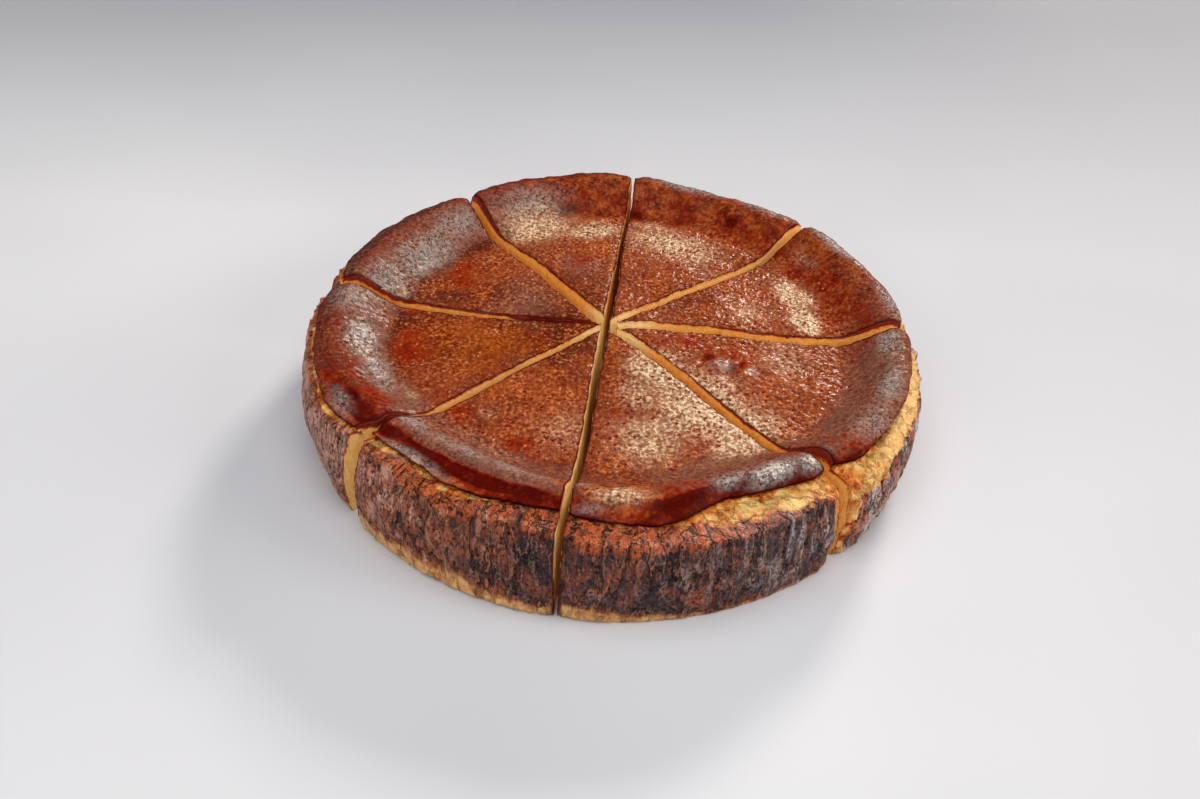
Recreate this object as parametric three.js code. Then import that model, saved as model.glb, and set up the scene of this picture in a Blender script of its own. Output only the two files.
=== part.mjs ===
// Basque cheesecake, about 24 cm across, cut into eight slices that still stand as one round.
// Millimetres, +Z up. The cake stands on z = 0 and azimuths run anticlockwise from +X.
import * as THREE from 'three';

// The whole round
const BASE_RADIUS = 116.2;
const FOOT_ROUNDING = 1.4;
const CENTRE_HEIGHT = 40;
const TROUGH_HEIGHT = 33.2;
const DOME_POWER = 1.15;
const OUTLINE_CENTRE = [-0.7, 0.8];

// The edge of the top skin: how far the torn ledge lies under and behind the lip, how the ledge bows
// down to the crust, and where between crest and lip the fold runs
const LIP_DROP = 1.3;
const LIP_UNDERCUT = 0.7;
const LEDGE_POWER = 1.4;
const FOLD_AT = 0.5;
const FOLD_SPREAD = 0.2;

// Where the eight cuts meet, beside the middle of the round
const MEETING_POINT = new THREE.Vector2(-3.0, 0.6);

// One line for each cut: its azimuth, the gap at the tip and at the rim, how much narrower the gap
// is at the foot, and how far the outer corners on its clockwise and anticlockwise sides stand back.
const CUTS = [
  { azimuth: -95.9, tipGap: 2.8, rimGap: 2.2, closing: 0.9, cornerBefore: 1.6, cornerAfter: 1.6 },
  { azimuth: -43.7, tipGap: 3.2, rimGap: 3.4, closing: 0.8, cornerBefore: 3.6, cornerAfter: 3.8 },
  { azimuth: 3.3, tipGap: 4.2, rimGap: 3.8, closing: 1.2, cornerBefore: 2.0, cornerAfter: 2.2 },
  { azimuth: 43.3, tipGap: 2.4, rimGap: 2.6, closing: 0.8, cornerBefore: 1.8, cornerAfter: 1.8 },
  { azimuth: 85.4, tipGap: 3.0, rimGap: 2.2, closing: 0.8, cornerBefore: 1.6, cornerAfter: 1.6 },
  { azimuth: 125.6, tipGap: 5.2, rimGap: 3.2, closing: 1.2, cornerBefore: 2.2, cornerAfter: 2.2 },
  { azimuth: 169.9, tipGap: 0.7, rimGap: 4.4, closing: 0.0, cornerBefore: 2.4, cornerAfter: 2.6 },
  { azimuth: 219.5, tipGap: 2.2, rimGap: 4.6, closing: 0.4, cornerBefore: 1.6, cornerAfter: 2.6 },
];

// The rim, station by station: the edge of the sunken dish, the crest of the rolled rim, the lip where
// the top skin ends, the upper edge of the side crust, the swell of the side between crust edge and
// foot, and the depth of the fold between crest and lip. Radii and heights are in millimetres.
const RIM_COLUMNS = [
  'azimuth', 'dish', 'crest', 'crestTop', 'lip', 'lipTop', 'crust', 'crustTop', 'swell', 'fold',
];
const RIM = [
  [-165, 86.5, 107, 41.8, 114.2, 38.4, 117, 35.4, 3.7, 0.3],
  [-150, 86, 102, 40.8, 113.8, 38, 116.8, 35.6, 3.4, 0.9],
  [-134, 81, 98, 40.2, 106.4, 38.4, 111.6, 36, 3.4, 1.7],
  [-118, 78, 96, 40.8, 106.6, 38.6, 113.2, 36, 2.8, 1.6],
  [-106, 78, 96.5, 41.2, 104.4, 39, 112, 36.4, 2.6, 1],
  [-92, 78, 97.5, 41.4, 106.8, 39.2, 115.8, 36.4, 2, 1.2],
  [-81, 78, 98.5, 41.8, 108.6, 39, 116.2, 36.6, 2, 0.8],
  [-68, 78, 96.5, 42.2, 102.8, 39.4, 118.2, 37, 1.6, 0],
  [-52, 80, 100, 43.4, 106.2, 39.6, 117.2, 37, 1.8, 0],
  [-37, 86, 106, 44, 113.2, 39.6, 119.6, 33.4, 2.9, 0],
  [-18, 89, 109.5, 43.6, 115.2, 39.2, 118.8, 34.2, 2.2, 0],
  [5, 87.5, 110.5, 43, 115.2, 38.6, 117.4, 35.6, 2, 0],
  [27, 87.5, 109.8, 42.2, 114.6, 38.4, 116.6, 35.4, 2, 0],
  [44, 88, 110.4, 41.9, 115.8, 38.4, 117.8, 35.4, 2.2, 0],
  [63, 90, 106.6, 40.8, 112.8, 37.6, 115.6, 35, 2.4, 0],
  [90, 91, 109.6, 42.2, 116.2, 38.4, 117.8, 35.2, 2.4, 0],
  [115, 85, 108.4, 42.2, 115.4, 38.2, 117.6, 35.2, 2.6, 0],
  [135, 83.5, 107.4, 42, 114.4, 38, 117, 35.2, 2.8, 0],
  [155, 86, 107.4, 42.4, 114.8, 38.2, 117.6, 35.2, 3.2, 0],
  [175, 84.5, 106.8, 42.8, 114.2, 38.4, 117.2, 35.4, 3.4, 0],
].map((values) => Object.fromEntries(RIM_COLUMNS.map((name, index) => [name, values[index]])));

// Relief: upright pleats left by the baking paper, two deeper creases, and a broad unevenness on top
const PLEATS = [
  { perTurn: 23, depth: 0.5, phase: 0.4 },
  { perTurn: 41, depth: 0.5, phase: 2.1 },
  { perTurn: 58, depth: 0.6, phase: 4.7 },
];
const CREASES = [
  { azimuth: -118, depth: 1.6, halfWidth: 1.6 },
  { azimuth: -31, depth: 1.3, halfWidth: 2.0 },
  { azimuth: 152, depth: 1.2, halfWidth: 2.0 },
];
const TOP_WAVES = [
  { perMetreX: 9.1, perMetreY: 4.3, height: 0.45, phase: 0.9 },
  { perMetreX: -5.6, perMetreY: 11.2, height: 0.4, phase: 3.6 },
  { perMetreX: 16.4, perMetreY: 13.0, height: 0.25, phase: 1.7 },
];
const CORNER_REACH = 4.0;
const CORNER_POWER = 1.5;
const CORNER_SINK = 0.35;

// How finely each slice is faceted: shares of the way along each stretch of its section
const TOP_SHARES = [0.09, 0.2, 0.32, 0.44, 0.56, 0.66, 0.74, 0.8, 0.85, 0.9, 0.95, 1];
const ROLL_SHARES = [0.25, 0.45, 0.62, 0.8, 1];
const LEDGE_SHARES = [0, 0.35, 0.7];
const SIDE_SHARES = [1, 0.86, 0.7, 0.54, 0.38, 0.22, 0.08];
const FOOT_SHARES = [0.5, 1];
const EDGE_COLUMNS = [0, 0.022, 0.055, 0.1];
const MIDDLE_COLUMNS = 18;
const FITTING_PASSES = 4;

const CRUST_COLOURS = [0x8a4526, 0x7f3f25];

const radians = THREE.MathUtils.degToRad;
const lerp = THREE.MathUtils.lerp;

function azimuthOf(point) {
  return THREE.MathUtils.radToDeg(Math.atan2(point.y, point.x));
}

// Signed difference between two azimuths, from -180 to 180
function turnBetween(from, to) {
  return THREE.MathUtils.euclideanModulo(to - from + 180, 360) - 180;
}

// A smooth closed ring through the rim stations, read off at one azimuth
function rimAt(azimuth) {
  const count = RIM.length;
  const turned = RIM[0].azimuth + THREE.MathUtils.euclideanModulo(azimuth - RIM[0].azimuth, 360);
  let index = count - 1;
  while (RIM[index].azimuth > turned) {
    index -= 1;
  }
  const before = RIM[(index + count - 1) % count];
  const start = RIM[index];
  const end = RIM[(index + 1) % count];
  const after = RIM[(index + 2) % count];
  const span = THREE.MathUtils.euclideanModulo(end.azimuth - start.azimuth, 360);
  const spanBefore = THREE.MathUtils.euclideanModulo(start.azimuth - before.azimuth, 360);
  const spanAfter = THREE.MathUtils.euclideanModulo(after.azimuth - end.azimuth, 360);
  const t = (turned - start.azimuth) / span;
  const rim = {};
  for (const name of Object.keys(start)) {
    if (name !== 'azimuth') {
      const slopeStart = ((end[name] - before[name]) / (span + spanBefore)) * span;
      const slopeEnd = ((after[name] - start[name]) / (span + spanAfter)) * span;
      rim[name] =
        start[name] * (2 * t ** 3 - 3 * t ** 2 + 1) +
        slopeStart * (t ** 3 - 2 * t ** 2 + t) +
        end[name] * (3 * t ** 2 - 2 * t ** 3) +
        slopeEnd * (t ** 3 - t ** 2);
    }
  }
  return rim;
}

// Height of the skin inside the crest: a low dome, a trough at the dish's edge, then the rolled rim
function topHeight(point) {
  const radius = point.length();
  const rim = rimAt(azimuthOf(point));
  if (radius < rim.dish) {
    const share = radius / rim.dish;
    return lerp(CENTRE_HEIGHT, TROUGH_HEIGHT, share ** DOME_POWER) + topWave(point);
  }
  const climb = THREE.MathUtils.smoothstep(radius, rim.dish, rim.crest);
  return lerp(TROUGH_HEIGHT, rim.crestTop, climb) + topWave(point) * (1 - climb);
}

function topWave(point) {
  let height = 0;
  for (const wave of TOP_WAVES) {
    const along = (wave.perMetreX * point.x + wave.perMetreY * point.y) / 1000;
    height += wave.height * Math.sin(2 * Math.PI * along + wave.phase);
  }
  return height;
}

// Inward depth of the pleats and creases on the side
function sideRelief(azimuth) {
  let depth = 0;
  for (const pleat of PLEATS) {
    depth += pleat.depth * (0.5 + 0.5 * Math.sin(pleat.perTurn * radians(azimuth) + pleat.phase));
  }
  for (const crease of CREASES) {
    depth += crease.depth * Math.exp(-((turnBetween(azimuth, crease.azimuth) / crease.halfWidth) ** 2));
  }
  return depth;
}

// The stretches of the section outside the crest, each giving a radius and a height
function rollPoint(azimuth, share) {
  const rim = rimAt(azimuth);
  const turn = (share * Math.PI) / 2;
  const fold = rim.fold * Math.exp(-(((share - FOLD_AT) / FOLD_SPREAD) ** 2));
  return {
    radius: lerp(rim.crest, rim.lip, Math.sin(turn)),
    height: lerp(rim.lipTop, rim.crestTop, Math.cos(turn)) - fold,
  };
}

function ledgePoint(azimuth, share) {
  const rim = rimAt(azimuth);
  return {
    radius: lerp(rim.lip - LIP_UNDERCUT, rim.crust, share),
    height: lerp(rim.lipTop - LIP_DROP, rim.crustTop, share ** LEDGE_POWER),
  };
}

function sidePoint(azimuth, share) {
  const rim = rimAt(azimuth);
  const fade = Math.min(1, 4 * share, 1.3 - share);
  const bow = rim.swell * Math.sin(Math.PI * share);
  return {
    radius: lerp(BASE_RADIUS, rim.crust, share) + bow - sideRelief(azimuth) * fade,
    height: lerp(FOOT_ROUNDING, rim.crustTop, share),
  };
}

function footPoint(azimuth, share) {
  const turn = (share * Math.PI) / 2;
  return {
    radius: BASE_RADIUS - FOOT_ROUNDING * (1 - Math.cos(turn)),
    height: FOOT_ROUNDING * (1 - Math.sin(turn)),
  };
}

// A flat cut face: the plane that bounds a slice on one side of a cut. The gap between the two faces
// of a cut grows or shrinks evenly outwards and with height.
function cutFace(cut, side) {
  const direction = new THREE.Vector2(Math.cos(radians(cut.azimuth)), Math.sin(radians(cut.azimuth)));
  const normal = new THREE.Vector2(-direction.y, direction.x);
  const corner = side > 0 ? cut.cornerAfter : cut.cornerBefore;
  return { cut, side, direction, normal, corner };
}

// Where the face's line crosses a given height: a start beside the meeting point, and a step outwards
function faceLine(face, height) {
  const { cut, side, direction, normal } = face;
  const closing = cut.closing * (1 - height / CENTRE_HEIGHT);
  const start = MEETING_POINT.clone().addScaledVector(normal, (side * (cut.tipGap - closing)) / 2);
  const widening = (side * (cut.rimGap - cut.tipGap)) / (2 * BASE_RADIUS);
  const step = direction.clone().addScaledVector(normal, widening);
  return { start, step };
}

// The point of the face's line at a given distance from the middle of the round
function facePoint(face, radius, height) {
  const { start, step } = faceLine(face, height);
  const along = start.dot(step);
  const square = step.lengthSq();
  const distance = (-along + Math.sqrt(along ** 2 - square * (start.lengthSq() - radius ** 2))) / square;
  return start.clone().addScaledVector(step, distance);
}

// The slice's tip at a given height, where its two faces meet
function tipPoint(first, second, height) {
  const a = faceLine(first, height);
  const b = faceLine(second, height);
  const between = b.start.clone().sub(a.start);
  const distance = between.cross(b.step) / a.step.cross(b.step);
  return a.start.clone().addScaledVector(a.step, distance);
}

// Slides a point onto the face sideways, so that the face stays flat
function ontoFace(face, point) {
  const { start, step } = faceLine(face, point.z);
  const away = new THREE.Vector2(point.x, point.y).sub(start);
  const miss = away.cross(step) / step.dot(face.direction);
  point.x += face.normal.x * miss;
  point.y += face.normal.y * miss;
}

// How far an outer corner stands back at a distance from its cut face
function cornerDepth(face, distance) {
  return face.corner * Math.exp(-((distance / CORNER_REACH) ** CORNER_POWER));
}

// One point of a section row outside the crest, at a share of the way from one face to the other. The
// outer corners beside the cuts stand back and sink as far as the row says.
function outerPoint(slice, row, column) {
  let radius = BASE_RADIUS;
  let height = FOOT_ROUNDING;
  let azimuth = 0;
  for (let pass = 0; pass < FITTING_PASSES; pass += 1) {
    const right = azimuthOf(facePoint(slice.right, radius, height));
    const span = turnBetween(right, azimuthOf(facePoint(slice.left, radius, height)));
    azimuth = right + column * span;
    const fromRight = radians(column * span) * radius;
    const fromLeft = radians((1 - column) * span) * radius;
    const corner = cornerDepth(slice.right, fromRight) + cornerDepth(slice.left, fromLeft);
    const point = row.sectionPoint(azimuth, row.share);
    radius = point.radius - corner * row.standBack;
    height = point.height - corner * row.sink;
  }
  const turned = radians(azimuth);
  return new THREE.Vector3(radius * Math.cos(turned), radius * Math.sin(turned), height);
}

// One point of the top between the tip and the crest
function topPoint(tip, crest, share) {
  const flat = new THREE.Vector2(lerp(tip.x, crest.x, share), lerp(tip.y, crest.y, share));
  const atCrest = new THREE.Vector2(crest.x, crest.y);
  const sink = topHeight(atCrest) - crest.z;
  return new THREE.Vector3(flat.x, flat.y, topHeight(flat) - sink * share ** 2);
}

// The section rows outside the crest, from the roll of the rim down to the foot
function outerRows() {
  const rows = [];
  for (const share of ROLL_SHARES) {
    rows.push({ sectionPoint: rollPoint, share, standBack: 0.5 + 0.4 * share, sink: CORNER_SINK });
  }
  for (const share of LEDGE_SHARES) {
    rows.push({ sectionPoint: ledgePoint, share, standBack: 1, sink: CORNER_SINK * (1 - share) });
  }
  for (const share of SIDE_SHARES) {
    rows.push({ sectionPoint: sidePoint, share, standBack: lerp(0.5, 1, share), sink: 0 });
  }
  for (const share of FOOT_SHARES) {
    rows.push({ sectionPoint: footPoint, share, standBack: 0.5, sink: 0 });
  }
  return rows;
}

function columnShares() {
  const columns = [...EDGE_COLUMNS];
  const first = EDGE_COLUMNS[EDGE_COLUMNS.length - 1];
  for (let step = 1; step < MIDDLE_COLUMNS; step += 1) {
    columns.push(lerp(first, 1 - first, step / MIDDLE_COLUMNS));
  }
  for (const share of [...EDGE_COLUMNS].reverse()) {
    columns.push(1 - share);
  }
  return columns;
}

// One slice as a closed solid: skin, rim, side, flat bottom and two flat cut faces
function sliceGeometry(rightCut, leftCut) {
  const slice = { right: cutFace(rightCut, 1), left: cutFace(leftCut, -1) };
  const columns = columnShares();
  const width = columns.length;
  const points = [];

  const tipFlat = tipPoint(slice.right, slice.left, CENTRE_HEIGHT);
  const tipTop = new THREE.Vector3(tipFlat.x, tipFlat.y, topHeight(tipFlat));
  const tipFoot = tipPoint(slice.right, slice.left, 0);
  points.push(tipTop);

  const grid = [];
  const crestRow = { sectionPoint: rollPoint, share: 0, standBack: 0.5, sink: CORNER_SINK };
  const crests = columns.map((column) => outerPoint(slice, crestRow, column));
  for (const share of TOP_SHARES) {
    grid.push(crests.map((crest) => topPoint(tipTop, crest, share)));
  }
  for (const row of outerRows()) {
    grid.push(columns.map((column) => outerPoint(slice, row, column)));
  }
  for (const line of grid) {
    ontoFace(slice.right, line[0]);
    ontoFace(slice.left, line[width - 1]);
    points.push(...line);
  }
  points.push(new THREE.Vector3(tipFoot.x, tipFoot.y, 0));

  const triangles = [];
  const at = (row, column) => 1 + row * width + column;
  const foot = points.length - 1;
  const last = grid.length - 1;
  for (let column = 0; column + 1 < width; column += 1) {
    triangles.push([0, at(0, column), at(0, column + 1)]);
    triangles.push([foot, at(last, column + 1), at(last, column)]);
    for (let row = 0; row < last; row += 1) {
      triangles.push([at(row, column), at(row + 1, column), at(row + 1, column + 1)]);
      triangles.push([at(row, column), at(row + 1, column + 1), at(row, column + 1)]);
    }
  }
  const rightOutline = [0, ...grid.map((line, row) => at(row, 0)), foot];
  const leftOutline = [0, ...grid.map((line, row) => at(row, width - 1)), foot];
  triangles.push(...faceTriangles(slice.right, points, rightOutline));
  triangles.push(...faceTriangles(slice.left, points, leftOutline));

  const geometry = new THREE.BufferGeometry();
  const coordinates = points.flatMap((point) => point.toArray());
  geometry.setAttribute('position', new THREE.Float32BufferAttribute(coordinates, 3));
  geometry.setIndex(triangles.flat());
  geometry.computeVertexNormals();
  return geometry;
}

// Fills the outline of one cut face with triangles, seen along the face
function faceTriangles(face, points, outline) {
  const flat = outline.map((index) => {
    const point = points[index];
    return new THREE.Vector2(point.x * face.direction.x + point.y * face.direction.y, point.z);
  });
  const found = THREE.ShapeUtils.triangulateShape(flat, []);
  return found.map(([a, b, c]) => {
    const corners = [outline[a], outline[b], outline[c]];
    const area = flat[b].clone().sub(flat[a]).cross(flat[c].clone().sub(flat[a]));
    return area * face.side > 0 ? corners : corners.reverse();
  });
}

function makeSlice(index) {
  const rightCut = CUTS[index];
  const leftCut = CUTS[(index + 1) % CUTS.length];
  const material = new THREE.MeshStandardMaterial({
    color: CRUST_COLOURS[index % CRUST_COLOURS.length],
    roughness: 0.45,
    metalness: 0,
  });
  const mesh = new THREE.Mesh(sliceGeometry(rightCut, leftCut), material);
  mesh.name = `slice_${index + 1}`;
  return mesh;
}

const cake = new THREE.Group();
for (let index = 0; index < CUTS.length; index += 1) {
  cake.add(makeSlice(index));
}
cake.position.set(-OUTLINE_CENTRE[0], -OUTLINE_CENTRE[1], 0);

export default cake;
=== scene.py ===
"""A round basque cheesecake, cut into eight slices that still stand together, dressed around its frame.

Each slice is one fine mesh that follows its plain solid: the glossy pebbled skin, the rolled rim, the
torn golden ledge under the rim, the wrinkled burnt side and the golden cut faces. Lengths are in
millimetres and angles in degrees until a mesh is made, measured from the middle of the round with
azimuths anticlockwise from +X.
"""
import math
from types import SimpleNamespace

import bpy
import numpy as np
from mathutils import Matrix, Vector


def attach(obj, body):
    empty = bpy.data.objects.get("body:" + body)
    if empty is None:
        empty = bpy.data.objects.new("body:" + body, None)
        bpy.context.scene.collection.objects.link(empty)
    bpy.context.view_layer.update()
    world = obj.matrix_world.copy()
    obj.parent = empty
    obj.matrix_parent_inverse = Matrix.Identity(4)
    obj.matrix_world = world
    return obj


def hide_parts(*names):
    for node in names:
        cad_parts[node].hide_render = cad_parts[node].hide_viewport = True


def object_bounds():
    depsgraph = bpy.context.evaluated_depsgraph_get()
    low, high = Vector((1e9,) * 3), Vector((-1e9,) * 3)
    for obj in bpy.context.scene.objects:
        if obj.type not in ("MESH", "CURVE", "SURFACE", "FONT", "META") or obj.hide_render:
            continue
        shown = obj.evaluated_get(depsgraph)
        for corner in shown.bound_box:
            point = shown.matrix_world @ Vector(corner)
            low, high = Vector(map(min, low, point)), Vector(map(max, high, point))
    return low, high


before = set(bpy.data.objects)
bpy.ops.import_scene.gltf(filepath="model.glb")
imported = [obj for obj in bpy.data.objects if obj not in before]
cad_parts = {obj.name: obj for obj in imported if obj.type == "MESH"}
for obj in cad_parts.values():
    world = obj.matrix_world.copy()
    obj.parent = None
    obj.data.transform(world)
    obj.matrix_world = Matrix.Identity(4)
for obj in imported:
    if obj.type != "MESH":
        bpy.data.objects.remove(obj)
cad_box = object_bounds()

MM = 0.001
OUTLINE_CENTRE = np.array([-0.7, 0.8])

# ---- The form that the plain solids have ----
BASE_RADIUS = 116.2
FOOT_ROUNDING = 1.4
CENTRE_HEIGHT = 40.0
TROUGH_HEIGHT = 33.2
DOME_POWER = 1.15
LIP_DROP = 1.3
LIP_UNDERCUT = 0.7
LEDGE_POWER = 1.4
FOLD_AT = 0.5
FOLD_SPREAD = 0.2
MEETING_POINT = np.array([-3.0, 0.6])
CORNER_REACH = 4.0
CORNER_POWER = 1.5
CORNER_SINK = 0.35
FITTING_PASSES = 4

# For each cut: azimuth, gap at the tip and at the rim, how much narrower the gap is at the foot, and
# how far the outer corners on its clockwise and anticlockwise sides stand back
CUTS = [
    (-95.9, 2.8, 2.2, 0.9, 1.6, 1.6),
    (-43.7, 3.2, 3.4, 0.8, 3.6, 3.8),
    (3.3, 4.2, 3.8, 1.2, 2.0, 2.2),
    (43.3, 2.4, 2.6, 0.8, 1.8, 1.8),
    (85.4, 3.0, 2.2, 0.8, 1.6, 1.6),
    (125.6, 5.2, 3.2, 1.2, 2.2, 2.2),
    (169.9, 0.7, 4.4, 0.0, 2.4, 2.6),
    (219.5, 2.2, 4.6, 0.4, 1.6, 2.6),
]

# The rim, station by station: azimuth, edge of the sunken dish, crest and its height, lip and its
# height, upper edge of the side crust and its height, swell of the side, depth of the fold
RIM_NAMES = ("dish", "crest", "crest_top", "lip", "lip_top", "crust", "crust_top", "swell", "fold")
RIM = np.array([
    (-165, 86.5, 107, 41.8, 114.2, 38.4, 117, 35.4, 3.7, 0.3),
    (-150, 86, 102, 40.8, 113.8, 38, 116.8, 35.6, 3.4, 0.9),
    (-134, 81, 98, 40.2, 106.4, 38.4, 111.6, 36, 3.4, 1.7),
    (-118, 78, 96, 40.8, 106.6, 38.6, 113.2, 36, 2.8, 1.6),
    (-106, 78, 96.5, 41.2, 104.4, 39, 112, 36.4, 2.6, 1),
    (-92, 78, 97.5, 41.4, 106.8, 39.2, 115.8, 36.4, 2, 1.2),
    (-81, 78, 98.5, 41.8, 108.6, 39, 116.2, 36.6, 2, 0.8),
    (-68, 78, 96.5, 42.2, 102.8, 39.4, 118.2, 37, 1.6, 0),
    (-52, 80, 100, 43.4, 106.2, 39.6, 117.2, 37, 1.8, 0),
    (-37, 86, 106, 44, 113.2, 39.6, 119.6, 33.4, 2.9, 0),
    (-18, 89, 109.5, 43.6, 115.2, 39.2, 118.8, 34.2, 2.2, 0),
    (5, 87.5, 110.5, 43, 115.2, 38.6, 117.4, 35.6, 2, 0),
    (27, 87.5, 109.8, 42.2, 114.6, 38.4, 116.6, 35.4, 2, 0),
    (44, 88, 110.4, 41.9, 115.8, 38.4, 117.8, 35.4, 2.2, 0),
    (63, 90, 106.6, 40.8, 112.8, 37.6, 115.6, 35, 2.4, 0),
    (90, 91, 109.6, 42.2, 116.2, 38.4, 117.8, 35.2, 2.4, 0),
    (115, 85, 108.4, 42.2, 115.4, 38.2, 117.6, 35.2, 2.6, 0),
    (135, 83.5, 107.4, 42, 114.4, 38, 117, 35.2, 2.8, 0),
    (155, 86, 107.4, 42.4, 114.8, 38.2, 117.6, 35.2, 3.2, 0),
    (175, 84.5, 106.8, 42.8, 114.2, 38.4, 117.2, 35.4, 3.4, 0),
])

# Broad relief: pleats (count in a turn, depth, phase), creases (azimuth, depth, half width) and the
# waves of the top (waves in a metre along X and Y, height, phase)
PLEATS = [(23, 0.5, 0.4), (41, 0.5, 2.1), (58, 0.6, 4.7)]
CREASES = [(-118, 1.6, 1.6), (-31, 1.3, 2.0), (152, 1.2, 2.0)]
TOP_WAVES = [(9.1, 4.3, 0.45, 0.9), (-5.6, 11.2, 0.4, 3.6), (16.4, 13.0, 0.25, 1.7)]

# ---- How finely a slice is meshed ----
RIM_COLUMNS = 176
TOP_ROWS = 208
ROLL_ROWS = 26
LEDGE_ROWS = 14
SIDE_ROWS = 68
FOOT_ROWS = 3
FIRST_LEDGE = TOP_ROWS + ROLL_ROWS
FIRST_SIDE = FIRST_LEDGE + LEDGE_ROWS
ROLL_SHARES = (np.arange(ROLL_ROWS) + 1) / ROLL_ROWS
LEDGE_SHARES = np.arange(LEDGE_ROWS) / LEDGE_ROWS
# How much closer together than on average the columns stand beside the cuts
COLUMN_GATHERING = 0.3
# How far down from the skin to the foot each line of points on a cut face lies
FACE_LEVELS = np.array([0, 0.012, 0.027, 0.045, 0.068, 0.1, 0.14, 0.19, 0.26, 0.36, 0.5, 0.72, 1.0])


def lerp(start, end, share):
    return start + (end - start) * share


def smoothstep(value, low, high):
    """0 below low, 1 above high and a soft step between; low may be the larger of the two."""
    share = np.clip((value - low) / (high - low), 0, 1)
    return share * share * (3 - 2 * share)


def bell(value):
    """1 at 0, falling softly to 0 on both sides."""
    return np.exp(-(value**2))


def ridge(value):
    """1 at 0.5, falling evenly to 0 at 0 and at 1."""
    return 1 - np.abs(2 * value - 1)


def spot(distance, reach):
    """1 at no distance, falling roundly to 0 at its reach."""
    return np.maximum(0, 1 - (distance / reach) ** 2)


def turn_between(start, end):
    """The signed turn from one azimuth to another, from -180 to 180."""
    return np.mod(end - start + 180, 360) - 180


def azimuth_of(x, y):
    return np.degrees(np.arctan2(y, x))


# ---- Repeatable random hills and cells ----
def scattered(across, up, seed):
    """One random value from 0 to 1 for each pair of whole numbers, the same in every run."""
    mixed = across.astype(np.int64).astype(np.uint32) * np.uint32(374761393)
    mixed = mixed + up.astype(np.int64).astype(np.uint32) * np.uint32(668265263)
    mixed = mixed + np.uint32(seed * 97_531_357 % 2**32)
    mixed = (mixed ^ (mixed >> np.uint32(13))) * np.uint32(1274126177)
    mixed = (mixed ^ (mixed >> np.uint32(15))) * np.uint32(2246822519)
    return ((mixed ^ (mixed >> np.uint32(16))) & np.uint32(0xFFFFFF)) / float(0x1000000)


def hills(x, y, size, seed, octaves=1):
    """Soft random hills about one size apart, from 0 to 1 and 0.5 on average."""
    total = np.zeros(np.broadcast(x, y).shape)
    weight, weights = 1.0, 0.0
    for octave in range(octaves):
        across, up = x / size + 17.3 * octave, y / size - 9.1 * octave
        left, low = np.floor(across), np.floor(up)
        u = smoothstep(across - left, 0, 1)
        v = smoothstep(up - low, 0, 1)
        lower = lerp(scattered(left, low, seed), scattered(left + 1, low, seed), u)
        upper = lerp(scattered(left, low + 1, seed), scattered(left + 1, low + 1, seed), u)
        total += weight * lerp(lower, upper, v)
        weights += weight
        weight *= 0.5
        size *= 0.5
        seed += 11
    return total / weights


def cells(x, y, size, seed):
    """Random cells about one size across: how far the nearest and the second nearest middle are, in
    sizes, and the nearest one's own random value."""
    across, up = x / size, y / size
    left, low = np.floor(across), np.floor(up)
    nearest = np.full(across.shape, 9.0)
    second = np.full(across.shape, 9.0)
    own = np.zeros(across.shape)
    for i in (-1, 0, 1):
        for j in (-1, 0, 1):
            middle_x = left + i + 0.1 + 0.8 * scattered(left + i, low + j, seed)
            middle_y = low + j + 0.1 + 0.8 * scattered(left + i, low + j, seed + 1)
            distance = np.hypot(across - middle_x, up - middle_y)
            closer = distance < nearest
            second = np.where(closer, nearest, np.minimum(second, distance))
            own = np.where(closer, scattered(left + i, low + j, seed + 2), own)
            nearest = np.where(closer, distance, nearest)
    return nearest, second, own


def patch(x, y, azimuth, radius, along, across):
    """A soft round patch from 1 at its middle to 0, with its half sizes along and across the radius."""
    turned = math.radians(azimuth)
    away_x = x - radius * math.cos(turned)
    away_y = y - radius * math.sin(turned)
    outwards = away_x * math.cos(turned) + away_y * math.sin(turned)
    sideways = away_y * math.cos(turned) - away_x * math.sin(turned)
    return np.exp(-((outwards / along) ** 2) - (sideways / across) ** 2)


def arc_patch(azimuth, away, place, half_turn, distance, half_width):
    """A soft patch that follows the rim, 1 at its middle."""
    turned = turn_between(azimuth, place) / half_turn
    return np.exp(-(turned**2) - ((away - distance) / half_width) ** 2)


def ring_values(stations, azimuth):
    """Values that change smoothly round the cake, from rows of azimuth and values."""
    table = np.array(sorted(stations), float)
    places = np.concatenate([table[-1:, 0] - 360, table[:, 0], table[:1, 0] + 360])
    wrapped = np.mod(azimuth + 180, 360) - 180
    found = []
    for column in range(1, table.shape[1]):
        values = np.concatenate([table[-1:, column], table[:, column], table[:1, column]])
        found.append(np.interp(wrapped, places, values))
    return found


# ---- The section of the round ----
def rim_at(azimuth):
    """The rim's values at each azimuth, on a smooth closed ring through the stations."""
    places, values = RIM[:, 0], RIM[:, 1:]
    count = len(RIM)
    turned = places[0] + np.mod(azimuth - places[0], 360)
    here = np.searchsorted(places, turned, side="right") - 1
    before, after, beyond = (here - 1) % count, (here + 1) % count, (here + 2) % count
    span = np.mod(places[after] - places[here], 360)[..., None]
    span_before = np.mod(places[here] - places[before], 360)[..., None]
    span_after = np.mod(places[beyond] - places[after], 360)[..., None]
    t = (turned - places[here])[..., None] / span
    slope_here = (values[after] - values[before]) / (span + span_before) * span
    slope_after = (values[beyond] - values[here]) / (span + span_after) * span
    found = (
        values[here] * (2 * t**3 - 3 * t**2 + 1)
        + slope_here * (t**3 - 2 * t**2 + t)
        + values[after] * (3 * t**2 - 2 * t**3)
        + slope_after * (t**3 - t**2)
    )
    return {name: found[..., index] for index, name in enumerate(RIM_NAMES)}


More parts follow.
